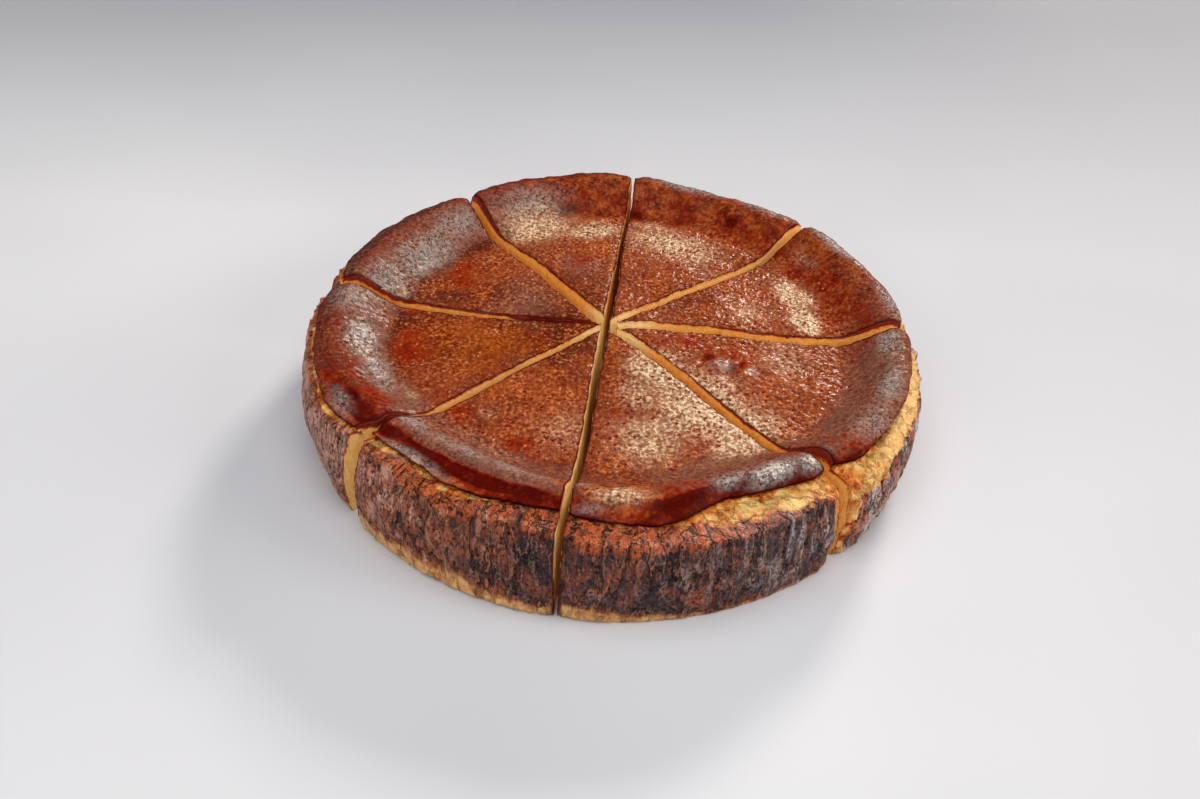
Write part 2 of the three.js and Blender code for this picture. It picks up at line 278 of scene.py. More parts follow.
def top_height(x, y):
    """Height of the skin inside the crest: a low dome, a trough, then the rolled rim."""
    radius = np.hypot(x, y)
    rim = rim_at(azimuth_of(x, y))
    share = np.minimum(radius / rim["dish"], 1)
    wave = np.zeros(radius.shape)
    for per_metre_x, per_metre_y, height, phase in TOP_WAVES:
        along = (per_metre_x * x + per_metre_y * y) * MM
        wave += height * np.sin(2 * math.pi * along + phase)
    climb = smoothstep(radius, rim["dish"], rim["crest"])
    inside = lerp(CENTRE_HEIGHT, TROUGH_HEIGHT, share**DOME_POWER)
    return lerp(inside, rim["crest_top"], climb) + wave * (1 - climb)


def side_relief(azimuth):
    """Inward depth of the broad pleats and creases on the side."""
    depth = np.zeros(np.shape(azimuth))
    for per_turn, height, phase in PLEATS:
        depth += height * (0.5 + 0.5 * np.sin(per_turn * np.radians(azimuth) + phase))
    for place, height, half_width in CREASES:
        depth += height * bell(turn_between(azimuth, place) / half_width)
    return depth


def roll_point(azimuth, share):
    rim = rim_at(azimuth)
    turn = share * math.pi / 2
    fold = rim["fold"] * bell((share - FOLD_AT) / FOLD_SPREAD)
    return (
        lerp(rim["crest"], rim["lip"], np.sin(turn)),
        lerp(rim["lip_top"], rim["crest_top"], np.cos(turn)) - fold,
    )


def ledge_point(azimuth, share):
    rim = rim_at(azimuth)
    return (
        lerp(rim["lip"] - LIP_UNDERCUT, rim["crust"], share),
        lerp(rim["lip_top"] - LIP_DROP, rim["crust_top"], share**LEDGE_POWER),
    )


def side_point(azimuth, share):
    rim = rim_at(azimuth)
    fade = np.minimum(np.minimum(1, 4 * share), 1.3 - share)
    bow = rim["swell"] * np.sin(math.pi * share)
    return (
        lerp(BASE_RADIUS, rim["crust"], share) + bow - side_relief(azimuth) * fade,
        lerp(FOOT_ROUNDING, rim["crust_top"], share),
    )


def foot_point(azimuth, share):
    turn = share * math.pi / 2
    return (
        BASE_RADIUS - FOOT_ROUNDING * (1 - np.cos(turn)) + 0 * azimuth,
        FOOT_ROUNDING * (1 - np.sin(turn)) + 0 * azimuth,
    )


# ---- The cuts ----
class Face:
    """One flat face of a cut: side is 1 on the slice anticlockwise of the cut and -1 on the other."""

    def __init__(self, cut, side):
        self.azimuth, self.tip_gap, self.rim_gap, self.closing, corner_before, corner_after = cut
        self.side = side
        self.corner = corner_after if side > 0 else corner_before
        turned = math.radians(self.azimuth)
        self.direction = np.array([math.cos(turned), math.sin(turned)])
        self.normal = np.array([-self.direction[1], self.direction[0]])
        widening = side * (self.rim_gap - self.tip_gap) / (2 * BASE_RADIUS)
        self.step = self.direction + widening * self.normal

    def start(self, height):
        """Where the face's line starts beside the meeting point, at each height."""
        closing = self.closing * (1 - height / CENTRE_HEIGHT)
        aside = self.side * (self.tip_gap - closing) / 2
        return MEETING_POINT[0] + self.normal[0] * aside, MEETING_POINT[1] + self.normal[1] * aside

    def azimuth_at(self, radius, height):
        """The azimuth where the face crosses a radius, at each height."""
        start_x, start_y = self.start(height)
        along = start_x * self.step[0] + start_y * self.step[1]
        square = self.step @ self.step
        inside = along**2 - square * (start_x**2 + start_y**2 - radius**2)
        distance = (-along + np.sqrt(np.maximum(inside, 0))) / square
        return azimuth_of(start_x + self.step[0] * distance, start_y + self.step[1] * distance)

    def corner_depth(self, distance):
        """How far an outer corner stands back at a distance from the face."""
        return self.corner * np.exp(-((distance / CORNER_REACH) ** CORNER_POWER))

    def distance_to(self, x, y, height):
        """How far points are from the face, on the slice's side."""
        start_x, start_y = self.start(height)
        away = (x - start_x) * self.step[1] - (y - start_y) * self.step[0]
        return -self.side * away / math.sqrt(self.step @ self.step)


def tip_point(right, left, height):
    """The slice's tip at a height, where its two faces meet."""
    start_a, start_b = np.array(right.start(height)), np.array(left.start(height))
    between = start_b - start_a
    crossed = right.step[0] * left.step[1] - right.step[1] * left.step[0]
    distance = (between[0] * left.step[1] - between[1] * left.step[0]) / crossed
    return start_a + right.step * distance


def outer_block(right, left, columns, section, shares, stand_back, sink):
    """Rows outside the crest: x, y, height and azimuth for each share of a section, at each column."""
    shares, stand_back, sink = (v[:, None] for v in np.broadcast_arrays(shares, stand_back, sink))
    column = np.asarray(columns)[None, :]
    radius = np.full((len(shares), column.shape[1]), BASE_RADIUS)
    height = np.full(radius.shape, FOOT_ROUNDING)
    for _ in range(FITTING_PASSES):
        from_azimuth = right.azimuth_at(radius, height)
        span = turn_between(from_azimuth, left.azimuth_at(radius, height))
        azimuth = from_azimuth + column * span
        from_right = np.radians(column * span) * radius
        from_left = np.radians((1 - column) * span) * radius
        corner = right.corner_depth(from_right) + left.corner_depth(from_left)
        section_radius, section_height = section(azimuth, shares)
        radius = section_radius - corner * stand_back
        height = section_height - corner * sink
    turned = np.radians(azimuth)
    return radius * np.cos(turned), radius * np.sin(turned), height, azimuth


# ---- The skin: how rough, how pebbled and what tone it has, from place to place ----
# Azimuth, then how leathery the inner and the outer half of the dish are, from 0 to 1
LEATHER = [
    (-165, 0.35, 0.45), (-140, 0.5, 0.75), (-112, 0.65, 0.95), (-90, 0.8, 1), (-60, 1, 1),
    (-35, 0.95, 0.95), (-10, 0.9, 0.9), (15, 0.7, 0.95), (35, 0.6, 0.75), (60, 0.8, 0.95),
    (85, 0.85, 1), (108, 0.45, 1), (128, 0.55, 0.9), (150, 0.35, 0.55), (172, 0.3, 0.4),
]
# How far past the dish's edge the pebbles reach, by azimuth
PEBBLE_REACH = [
    (-165, 0), (-130, -1), (-90, 0), (-52, -2), (-20, 8), (15, 11), (40, 9), (65, 2), (130, -1),
]

# Soft patches of the top: azimuth, radius, half sizes along and across the radius, strength
WARM_PATCHES = [
    (193, 52, 26, 24, 0.9), (-126, 50, 20, 20, 0.8), (-112, 62, 14, 10, 0.4), (-150, 66, 10, 16, 0.5),
    (146, 68, 9, 13, 0.8), (128, 40, 18, 7, 0.4), (98, 61, 8, 9, 1), (102, 84, 9, 16, 0.4),
    (40, 62, 14, 9, 0.6), (22, 58, 13, 10, 0.6), (-17, 63, 12, 14, 0.5), (-97, 14, 12, 5, 0.4),
    (-88, 24, 26, 3.2, 0.9), (10, 82, 8, 12, 0.3), (60, 40, 20, 10, 0.4), (27, 45, 12, 8, 0.4),
]
DARK_PATCHES = [
    (86, 93, 6, 8, 0.9), (105, 94, 5, 9, 1), (60, 98, 5, 10, 0.8), (35, 94, 6, 8, 0.8),
    (74, 100, 4, 9, 0.6), (-170, 78, 8, 14, 0.6), (150, 70, 8, 12, 0.4), (-140, 74, 6, 12, 0.5),
    (-115, 72, 7, 14, 0.4), (-12, 30, 7, 5, 0.6), (-34, 22, 5, 6, 0.5), (-36, 20, 6, 5, 0.4),
    (107, 51, 10, 9, 0.35), (146, 76, 5, 9, 0.5), (172, 78, 7, 6, 0.3), (-14, 47, 5, 4, 0.5),
    (-21.5, 40, 3, 3, 1), (-18.5, 52, 2.6, 3, 1), (-30, 47, 2.4, 3, 0.9), (-85, 46, 14, 6, 0.3),
    (-62, 70, 6, 16, 0.3), (-23, 49, 4, 3, 0.9), (-18, 60, 4, 3, 0.7), (16, 88, 5, 12, 0.5),
]
MAUVE_PATCHES = [
    (109, 48, 11, 11, 0.9), (152, 38, 20, 17, 0.8), (52, 60, 6, 9, 0.8), (0, 16, 14, 14, 0.4),
    (178, 30, 12, 8, 0.4), (-6, 74, 12, 12, 0.6), (4, 61, 6, 6, 0.7), (-24, 44, 4, 5, 0.8),
]
# Where cream glints, points of light, are painted on the skin
PAINTED_GLINT_PATCHES = [
    (114, 84, 13, 18, 1), (99, 76, 8, 13, 1.1), (26, 82, 7, 11, 1.3), (13, 79, 6, 10, 1.3),
    (-51, 54, 22, 18, 1.15), (-56, 31, 13, 11, 1.2), (-48, 72, 11, 16, 1.2), (-131, 67, 4, 5, 0.5),
    (-107, 61, 14, 11, 0.45), (-151, 84, 4, 10, 0.4), (166, 88, 4, 10, 0.5), (70, 72, 14, 24, 0.8),
    (-10, 66, 12, 16, 0.5), (20, 58, 12, 12, 0.5), (-76, 62, 15, 16, 0.75), (-74, 40, 14, 10, 0.7),
    (112, 94, 7, 14, 0.5), (-87, 97, 5, 10, 1), (36, 98, 5, 12, 0.4), (80, 84, 5, 14, 0.5),
]
# Where a soft grey sheen is painted on the rim's smooth skin
PAINTED_SHEEN_PATCHES = [
    (73, 110, 3.4, 18, 0.9), (55, 111, 3.4, 16, 0.9), (33, 112, 3.4, 20, 1), (12, 112, 3.6, 14, 0.8),
    (-2, 106, 4, 10, 1), (-18, 107, 4, 11, 0.9), (-30, 108, 7, 10, 0.6), (-64, 97, 3.2, 8, 0.9),
    (-56, 100, 3.6, 8, 2.4), (-47, 103, 3.4, 6, 2.2), (114, 98, 8, 16, 0.7), (-24, 46, 4, 5, 0.6),
    (-21, 57, 3, 4, 0.5), (-66, 97, 3, 5, 1.2), (150, 93, 8, 17, 1), (165, 95, 8, 12, 1),
    (176, 103, 7, 10, 0.8), (-172, 96, 6, 12, 0.9), (-160, 92, 5, 11, 0.9), (-150, 110, 3, 8, 0.8),
    (-138, 93, 4, 9, 0.9), (-124, 90, 4, 12, 0.8), (-110, 90, 4, 12, 0.6), (-128, 105, 2.2, 13, 1),
    (-95, 91, 2.4, 4, 0.8), (-93, 103, 2.6, 6, 0.5), (135, 98, 7, 14, 0.7),
]
# The rim's tones by azimuth, each on its inner slope, its crest, the fold outside it and its lip: how
# red and dark, how mauve, how orange and how sooty
RIM_RED = [
    (-165, 0.1, 0.2, 0.4, 0.3), (-150, 0.1, 0.35, 0.9, 0.3), (-139, 0.1, 0.5, 1, 0.5),
    (-130, 0.05, 0.15, 1.25, 0.2), (-118, 0.05, 0.1, 1.35, 0.3), (-106, 0.05, 0.1, 1.3, 0.9),
    (-96, 0.1, 0.1, 0.7, 0.8), (-88, 0.05, 0, 0.2, 0.5), (-79, 0.15, 0.4, 0.9, 0.9),
    (-66, 0.1, 0.2, 1.1, 1.1), (-54, 0.1, 0.1, 1, 1.1), (-44, 0.3, 0.3, 0.7, 0.9),
    (-32, 0.1, 0.1, 0.2, 0.4), (-10, 0.1, 0.05, 0.1, 0.3), (8, 0.35, 0.2, 0.2, 0.3),
    (20, 0.45, 0.2, 0.3, 0.3), (45, 0.42, 0.25, 0.3, 0.3), (66, 0.38, 0.25, 0.4, 0.4),
    (90, 0.35, 0.28, 0.5, 0.5), (112, 0.3, 0.35, 0.5, 0.6), (132, 0.1, 0.3, 0.4, 0.5),
    (155, 0.05, 0.25, 0.35, 0.4), (178, 0.1, 0.25, 0.35, 0.4),
]
RIM_SOOT = [
    (-165, 0, 0.2, 0.6, 0.5), (-150, 0, 0.1, 0.2, 0.2), (-120, 0, 0, 0.1, 0), (-90, 0, 0, 0, 0.3),
    (-50, 0, 0.2, 0.4, 0.2), (-20, 0.3, 0.25, 0.3, 0.3), (10, 0, 0.1, 0.3, 0.3), (60, 0, 0.1, 0.4, 0.6),
    (90, 0.1, 0.1, 0.5, 0.7), (120, 0, 0.2, 0.7, 0.9), (142, 0, 0.3, 1, 0.9), (160, 0, 0.3, 1, 0.8),
    (178, 0, 0.3, 0.8, 0.6),
]
RIM_MAUVE = [
    (-165, 0.8, 0.5, 0.3, 0.6), (-150, 0.8, 0.5, 0.2, 0.8), (-136, 0.8, 0.9, 0.1, 0.9),
    (-118, 0.8, 1, 0.1, 0.45), (-106, 0.7, 0.9, 0.1, 0.2), (-92, 0.4, 0.2, 0.1, 0.8),
    (-78, 0.6, 0.7, 0.2, 0.2), (-64, 0.8, 0.8, 0.1, 0.1), (-52, 0.8, 0.9, 0.3, 0.2),
    (-30, 0.95, 1, 1, 0.9), (-8, 0.9, 1, 1, 0.9), (12, 0.3, 0.6, 0.9, 0.9), (40, 0.05, 0.3, 0.8, 0.9),
    (66, 0.05, 0.3, 0.8, 0.8), (92, 0.1, 0.3, 0.5, 0.6), (116, 0.5, 0.3, 0.5, 0.6),
    (135, 0.9, 0.7, 0.5, 0.5), (178, 0.8, 0.6, 0.4, 0.4),
]
RIM_WARM = [
    (-165, 0.1, 0.2, 0.2, 0.1), (-120, 0.1, 0, 0.5, 0.8), (-98, 0.2, 0.3, 0.5, 0.3),
    (-87, 0.4, 1.3, 1.3, 0.4), (-76, 0.1, 0.2, 0.3, 0.1), (-50, 0, 0, 0.2, 0.1), (-10, 0.1, 0.1, 0, 0),
    (12, 0.4, 0.2, 0.1, 0), (45, 0.8, 0.6, 0.2, 0), (66, 0.9, 0.6, 0.2, 0), (90, 0.8, 0.9, 0.4, 0.1),
    (112, 0.5, 0.6, 0.3, 0.1), (135, 0.1, 0.1, 0.1, 0), (178, 0, 0.1, 0.2, 0.1),
]
# Folds and ridges that run along the rim: azimuth, half its turn, how far outside the crest, half
# width, height
RIM_FOLDS = [
    (-120, 19, -5, 4, 0.6), (-121, 20, 1.8, 2.8, -2.1), (-128, 11, 7, 1.7, 1.1),
    (-104, 8, 4.5, 2.6, -1.2), (-92, 6, 3.5, 1.8, -0.7), (-87, 7, -1, 3, 0.4), (-78, 8, 6, 3, -1),
    (-64, 10, 4.5, 1.6, -0.8), (-153, 9, 3, 2.4, -1.2), (-150, 10, 8, 2, 0.6), (160, 14, 2, 3, -0.6),
    (128, 10, 4, 3, -0.7), (100, 9, -8, 3.5, 0.7), (92, 5, -14, 2.4, 0.8), (75, 10, -12, 4, -0.7),
    (58, 8, -16, 3, 0.6), (34, 8, -9, 3, -0.7), (18, 7, -14, 3.4, 0.7), (-12, 12, -16, 5, -0.5),
    (-34, 8, -12, 4, 0.4),
]
# Blisters and dents: azimuth, radius, half width, height
BLISTERS = [
    (-26, 43.5, 3.6, 1.5), (-24, 37, 2.4, -1.3), (-24.5, 54, 3.2, 1.2), (-28, 50, 2.2, -1.1),
    (-121.5, 60.5, 1.3, 0.7), (-89.5, 87.5, 1.7, 1.2), (98, 73, 3, 0.7), (94, 92, 3.5, -0.7),
    (53, 62, 4.5, -0.5), (8, 88, 5, 0.8), (20, 84, 4, 0.9), (31, 86, 4, -0.6), (13, 96, 3.2, -0.7),
]
# How far the lip's edge strays from its line in fine rags and in broad scallops
LIP_RAG = 0.75
LIP_SCALLOP = 0.9
# How far the skin's lip lies outside or inside the plain solid's, by azimuth
LIP_SHIFT = [(-60, 0), (-42, 0), (-28, -2.2), (-8, -2.4), (4, -1.2), (14, 0), (-130, 0), (130, 0)]
# Beside a cut: how far the skin's edge stands back, how far from it that and the dark line reach, how
# much wider the dark line is where the skin is scorched, and how deep the cut face stands back with it
EDGE_ROUNDING = 0.6
EDGE_REACH = 1.3
SCORCH_REACH = 0.9
WEDGE_DEPTH = 9.0


def patches(places, x, y):
    """The strongest of several soft patches at each point, from 0 to 1."""
    strongest = np.zeros(x.shape)
    for azimuth, radius, along, across, strength in places:
        strongest = np.maximum(strongest, strength * patch(x, y, azimuth, radius, along, across))
    return strongest


def skin_texture(x, y, azimuth, radius):
    """The skin's relief in millimetres and what its finish needs to know, from place to place. Outside
    the crest, x, y and radius go on along the surface as if it lay flat."""
    rim = rim_at(azimuth)
    inner, outer = ring_values(LEATHER, azimuth)
    (reach,) = ring_values(PEBBLE_REACH, azimuth)
    border = rim["dish"] + reach + 9 * (hills(x, y, 9, 3, 2) - 0.5)
    dish = smoothstep(radius, border + 4, border - 5)
    # Where cream glints are painted
    cream = smoothstep(patches(PAINTED_GLINT_PATCHES, x, y) * (0.6 + 0.8 * hills(x, y, 6, 9, 4)), 0.05, 1.15)
    leather = lerp(inner, outer, smoothstep(radius, 30, 70)) * dish
    leather = leather * (0.65 + 0.7 * hills(x, y, 11, 5))
    leather = np.maximum(leather, 0.8 * cream)

    near, second, own = cells(x + 0.6 * hills(x, y, 2.2, 7), y, 1.3, 11)
    plateau = smoothstep(second - near, 0.0, 0.42)
    pebbles = plateau * (0.45 + 0.55 * own)
    near, _, own = cells(x, y, 2.7, 21)
    beads = spot(near, 0.3) ** 1.5 * (own > 0.45)
    slanted, upright = (x + y) * 0.42, (y - x) * 0.7
    near, _, own = cells(slanted + 0.8 * hills(x, y, 3, 31), upright, 2.2, 33)
    pits = spot(near, 0.36) * (own > 0.5)

    swell = hills(x, y, 14, 41, 2) - 0.5
    ripple = hills(slanted, upright, 2.6, 43, 2) - 0.5
    grain = hills(x, y, 1.1, 47) - 0.5
    wrinkles = ridge(hills(x + 2 * hills(x, y, 5, 49), y, 3.4, 55, 3))
    lumps = hills(x, y, 7, 45, 2) - 0.5
    relief = 1.3 * swell * dish + (1.2 * swell + 0.9 * lumps + 0.45 * wrinkles) * (1 - dish)
    relief += ripple * lerp(0.45, 0.75, leather)
    relief += grain * lerp(0.16, 0.2, leather)
    relief = relief + 0.2 * pebbles * leather + 0.26 * beads * dish * (0.5 + 0.5 * leather)
    relief -= 0.45 * pits * leather * (0.5 + 0.5 * outer)
    for place, distance, half_width, height in BLISTERS:
        relief += height * patch(x, y, place, distance, half_width, half_width)

    past_crest = radius - rim["crest"]
    for place, half_turn, distance, half_width, height in RIM_FOLDS:
        fold = arc_patch(azimuth, past_crest, place, half_turn, distance, half_width)
        relief += height * fold
    across_rim = (rim["lip"] - rim["crest"]) * 1.15
    outside = past_crest / across_rim
    on_slope = smoothstep(past_crest, -26, -16) * smoothstep(past_crest, -5, -11)
    on_crest = smoothstep(past_crest, -11, -5) * smoothstep(outside, 0.22, 0.02)
    on_fold = smoothstep(outside, 0.02, 0.22) * smoothstep(outside, 0.72, 0.56)
    on_lip = smoothstep(outside, 0.56, 0.72)
    bands = (on_slope, on_crest, on_fold, on_lip)

    def rim_tone(stations):
        return sum(value * band for value, band in zip(ring_values(stations, azimuth), bands))

    warm = patches(WARM_PATCHES, x, y) * (1 - sum(bands)) + rim_tone(RIM_WARM)
    warm = warm + hills(x, y, 9, 51, 3) - 0.5
    red = np.maximum(patches(DARK_PATCHES, x, y), rim_tone(RIM_RED))
    red *= 0.2 + 1.6 * hills(x, y, 5, 53, 4)
    mauve = np.maximum(patches(MAUVE_PATCHES, x, y), rim_tone(RIM_MAUVE))
    mauve += 0.4 * (hills(x, y, 12, 57, 2) - 0.5)
    soot = rim_tone(RIM_SOOT) + 0.6 * (hills(x, y, 6, 63, 3) - 0.5)
    # The soft grey sheen painted on the rim
    painted_sheen = patches(PAINTED_SHEEN_PATCHES, x, y) * (0.6 + 0.8 * hills(x, y, 5, 59, 3))
    # Painted shade in the pits and in the grooves between the pebbles
    hollow_shade = 0.6 * pits * leather + (1 - plateau) * 0.2 * leather
    facts = {
        "warm": warm, "red": red, "mauve": mauve, "soot": soot, "cream": cream, "painted_sheen": painted_sheen,
        "hollow_shade": hollow_shade, "leather": leather, "dish": dish,
    }
    return relief, facts


# ---- The torn ledge and the side ----
# By azimuth: how far the torn curd reaches from the lip, where 1 is the crust's upper edge and each
# 0.1 more is a millimetre down the side, how pale it is, how orange the crust is below it, how charred
# the side is, the height of the golden band at its foot and how strong a silver highlight is painted on
# the folds
SIDE_LOOKS = [
    (-165, 0.4, 0, 1, -0.15, 3, 0.1), (-153, 0.6, 0, 1.2, -0.15, 4, 0.1),
    (-146, 0.5, 0.2, 0.8, -0.15, 3, 0.1), (-139, 0.7, 0.3, 1, 0.1, 6.5, 0),
    (-132, 0.2, 0.1, 1, 0.2, 8, 0), (-126, 0.35, 0.2, 1.1, 0.3, 8.5, 0),
    (-117, 0.5, 0.2, 1.3, 0.4, 8, 0), (-111, 0, 0.2, 0.9, 0.6, 6, 0), (-98, -0.1, 0.2, 1, 0.75, 5.5, 0),
    (-90, 0, 0.2, 1.3, 0.8, 6.5, 0.1), (-82, 0, 0.2, 1.3, 0.85, 3.5, 0.2),
    (-76, 0.25, 0.4, 1.2, 0.8, 2, 0.2), (-70, 0.55, 0.8, 0.9, 0.9, 1.5, 0.25),
    (-64, 0.66, 1, 0.7, 0.95, 1.5, 0.4), (-52, 0.72, 1, 0.7, 0.8, 1.2, 0.7),
    (-49, 0.8, 0.8, 1, 0.7, 1.2, 0.7), (-47.6, 3, 0.2, 1, 0.7, 2, 0.3),
    (-45.6, 5, 0.15, 1, 0.7, 6, 0.2), (-43, 4.8, 0.15, 1, 0.6, 6, 0.2),
    (-41.6, 1.3, 0.4, 1, 0.4, 1.2, 0.8), (-30, 0.95, 1.4, 1, 0.3, 1.5, 1.5),
    (-12, 0.95, 1.3, 1, 0.3, 2, 1.5), (10, 0.8, 0.8, 0.8, 0.45, 2, 0.8),
    (40, 0.6, 0.3, 0.8, 0.5, 4, 0.3), (80, 0.5, 0.3, 0.8, 0.6, 5, 0.1),
    (120, 0.6, 0.25, 0.8, 0.5, 6, 0.1), (155, 0.6, 0.2, 0.9, 0.1, 4, 0.1),
]
# Strength by azimuth of the deep upright folds and of the thin paper creases
SIDE_FOLDS = [
    (-165, 0.35, 0.2), (-125, 0.3, 0.25), (-105, 0.45, 0.4), (-85, 0.4, 0.9), (-60, 0.5, 0.9),
    (-45, 0.8, 0.5), (-30, 1, 0.6), (-10, 0.8, 0.6), (20, 0.5, 0.5), (90, 0.5, 0.6), (150, 0.45, 0.4),
]


def side_texture(azimuth, height, from_lip):
    """The relief of the ledge and the side in millimetres and what their finish needs to know.
    from_lip runs from 0 under the lip to 1 at the crust's upper edge, then by 0.1 a millimetre."""
    arc = np.radians(azimuth) * BASE_RADIUS
    reach, pale, orange, char, band, silver_highlight = ring_values(SIDE_LOOKS, azimuth)
    folds, creases = ring_values(SIDE_FOLDS, azimuth)
    below = 10 * (from_lip - 1)

    upright = hills(arc, height * 0.16, 2.4, 61, 2) - 0.5
    lean = arc + 0.28 * height
    deep = ridge(hills(lean, height * 0.14, 5.5, 67, 2))
    thin = hills(arc + 1.5 * hills(arc, height, 9, 71), height * 0.2, 4.2, 73)
    thin = np.clip(1 - np.abs(2 * thin - 1) * 7, 0, 1)
    thin = thin * smoothstep(hills(arc, height, 7, 79), 0.45, 0.7)
    pleats = ridge(hills(arc, height * 0.05, 2.2, 83))
    near, _, own = cells(arc, height * 0.8, 1.9, 89)
    pores = spot(near, 0.3) * (own > 0.5)
    lumps = hills(arc, height, 6, 97, 3) - 0.5
    chips = hills(arc, height, 1.3, 99) - 0.5

    side = 1.3 * upright + 2.4 * folds * (deep - 0.6) + 0.8 * creases * thin + 1.4 * lumps
    side += 0.3 * chips + 1.1 * (pleats - 0.6) * bell((below - 1.5) / 4) - 0.6 * pores

    near, second, own = cells(arc, 1.4 * height, 2.1, 101)
    crumb = lerp(0.5, 1, smoothstep(second - near, 0, 0.5)) * (0.35 + 0.65 * own)
    fine, fine_second, fine_own = cells(arc, 1.4 * height, 0.95, 103)
    fine_crumb = smoothstep(fine_second - fine, 0, 0.5) * fine_own
    rough = hills(arc, height, 5, 107, 3) - 0.5
    torn_relief = 0.6 * (crumb - 0.6) + 0.35 * (fine_crumb - 0.5) + 1.9 * rough

    ragged = reach + 0.55 * (hills(arc, 1.3 * height, 6.5, 109, 4) - 0.5)
    torn = smoothstep(from_lip, ragged + 0.05, ragged - 0.05)
    relief = lerp(side, torn_relief, torn)
    singe_end = np.maximum(ragged, 0.75) + orange * (0.2 + 0.5 * hills(arc, 0.5 * height, 4, 163, 3))
    singed = smoothstep(from_lip, singe_end + 0.15, singe_end - 0.25)

    fade_out = smoothstep(height, 0.0, 2.2)
    band_edge = band * (0.35 + 1.3 * hills(arc, height * 0.7, 8, 113, 4))
    # Where a silver highlight is painted on the upright folds
    silver_highlight = silver_highlight * smoothstep(upright, -0.2, 0.15) * smoothstep(hills(arc, height, 9, 81, 2), 0.2, 0.5)
    facts = {
        "torn": torn,
        "pale": pale * torn * smoothstep(from_lip, 0, 0.3),
        "orange": orange * singed,
        "char": char + 0.6 * (hills(arc, height, 8, 127, 3) - 0.5),
        "band": smoothstep(height, band_edge + 3.0, band_edge - 2.5),
        "silver_highlight": silver_highlight,
        # Painted shade in the pores and deep folds, and a painted highlight on the raised creases and
        # folds
        "hollow_shade": np.clip(pores + smoothstep(deep, 0.66, 0.34) * folds, 0, 1) * (1 - torn),
        "raised_highlight": np.clip(thin * creases + folds * smoothstep(upright, 0.1, 0.3), 0, 1) * (1 - torn),
        "crumb": crumb + 1.6 * rough,
    }
    return relief * fade_out, facts


# ---- One slice as a closed mesh ----
SKIN, CRUST, CURD = 0, 1, 2
# What the mesh tells its finishes at each point, of the skin, the side and ledge, and the cuts
FACTS = (
    "warm", "red", "mauve", "soot", "cream", "painted_sheen", "leather", "dish", "hollow_shade",
    "torn", "pale", "orange", "char", "band", "silver_highlight", "raised_highlight", "crumb", "edge", "depth", "burn",
)

# How the cuts stray from a straight line: for each cut, places along it, half widths and shifts
# towards its anticlockwise side
CUT_WOBBLES = [
    [(62, 26, 1.0)],
    [(40, 16, 0.3), (84, 10, -0.5)],
    [(34, 12, 0.4), (62, 12, -0.5), (92, 9, 0.6)],
    [(48, 14, -0.4), (86, 10, 0.5)],
    [(70, 18, 0.4)],
    [(60, 18, -0.4), (96, 9, 0.5)],
    [(52, 16, 0.4), (86, 12, -0.4)],
    [(44, 16, -0.4), (78, 10, 0.4)],
]
# How far from a cut its wobble is felt
WOBBLE_REACH = 9.0

# Where a cut has closed again: its azimuth, from where to where along it, and what share of the gap is
# closed before that and there
CLOSURES = {
    219.5: (76, 107, 0.35, 1.0), 169.9: (0, 36, 0.35, 1.0), -95.9: (128, 400, 0.3, 0.6),
    85.4: (40, 400, 0.3, 0.85),
}
# How far from such a cut the skin leans towards it
CLOSURE_REACH = 7.0
# Along a cut, how long it takes to close and to open again, and what half gap always stays open
CLOSING_LENGTH = 7
OPENING_LENGTH = 5
HAIRLINE = 0.12
# How pale the curd is in some of the cuts
PALE_CUTS = {-95.9: 0.8, 219.5: 0.3, 43.3: 0.3}
# Where the cut skin is burnt deep: azimuth of the cut, side, place along it, half width, depth
BURNS = [
    (125.6, -1, 102, 14, 5), (125.6, -1, 50, 40, 0.8), (169.9, -1, 99, 15, 4), (169.9, -1, 58, 30, 1.5),
    (169.9, -1, 24, 14, 9), (3.3, 1, 105, 14, 3.4), (3.3, 1, 62, 22, 1.6), (-43.7, 1, 100, 12, 6),
    (-43.7, 1, 66, 20, 1.9), (85.4, -1, 60, 40, 1.6), (219.5, -1, 101, 10, 5),
    (-95.9, -1, 102, 10, 2.5), (43.3, 1, 100, 14, 1.2), (219.5, -1, 60, 20, 1),
    (-95.9, -1, 154, 18, 14), (-95.9, 1, 154, 18, 14),
]
# How deep a burn goes before it also darkens the skin beside it
DEEP_BURN = 3


def closure(face, path):
    """How far the skin beside a cut leans over it, from 0 to just short of the middle of the gap."""
    if face.azimuth not in CLOSURES:
        return np.zeros(path.shape)
    start, end, least, most = CLOSURES[face.azimuth]
    half_gap = lerp(face.tip_gap, face.rim_gap, path / BASE_RADIUS) / 2
    closed = lerp(least, most, smoothstep(path, start, start + CLOSING_LENGTH))
    return closed * smoothstep(path, end, end - OPENING_LENGTH) * (half_gap - HAIRLINE)


def scorch(face, path):
    """How widely the skin beside a cut is burnt, from 0 to 1 along the cut."""
    widest = np.zeros(path.shape)
    for azimuth, _, place, half_width, deep in BURNS:
        if azimuth == face.azimuth and deep > DEEP_BURN:
            widest = np.maximum(widest, bell((path - place) / half_width))
    return widest


def wobble(x, y):
    """How far points move sideways where the nearest cut strays."""
    moved_x, moved_y = np.zeros(x.shape), np.zeros(x.shape)
    for index, (cut, places) in enumerate(zip(CUTS, CUT_WOBBLES)):
        turned = math.radians(cut[0])
        direction = (math.cos(turned), math.sin(turned))
        away_x, away_y = x - MEETING_POINT[0], y - MEETING_POINT[1]
        along = away_x * direction[0] + away_y * direction[1]
        aside = away_y * direction[0] - away_x * direction[1]
        shift = sum(size * bell((along - place) / width) for place, width, size in places)
        shift += 0.5 * (hills(along, 0 * along + 40 * index, 7, 131, 2) - 0.5)
        shift = shift * bell(aside / WOBBLE_REACH) * smoothstep(along, 4, 20)
        moved_x -= shift * direction[1]
        moved_y += shift * direction[0]
    return moved_x, moved_y


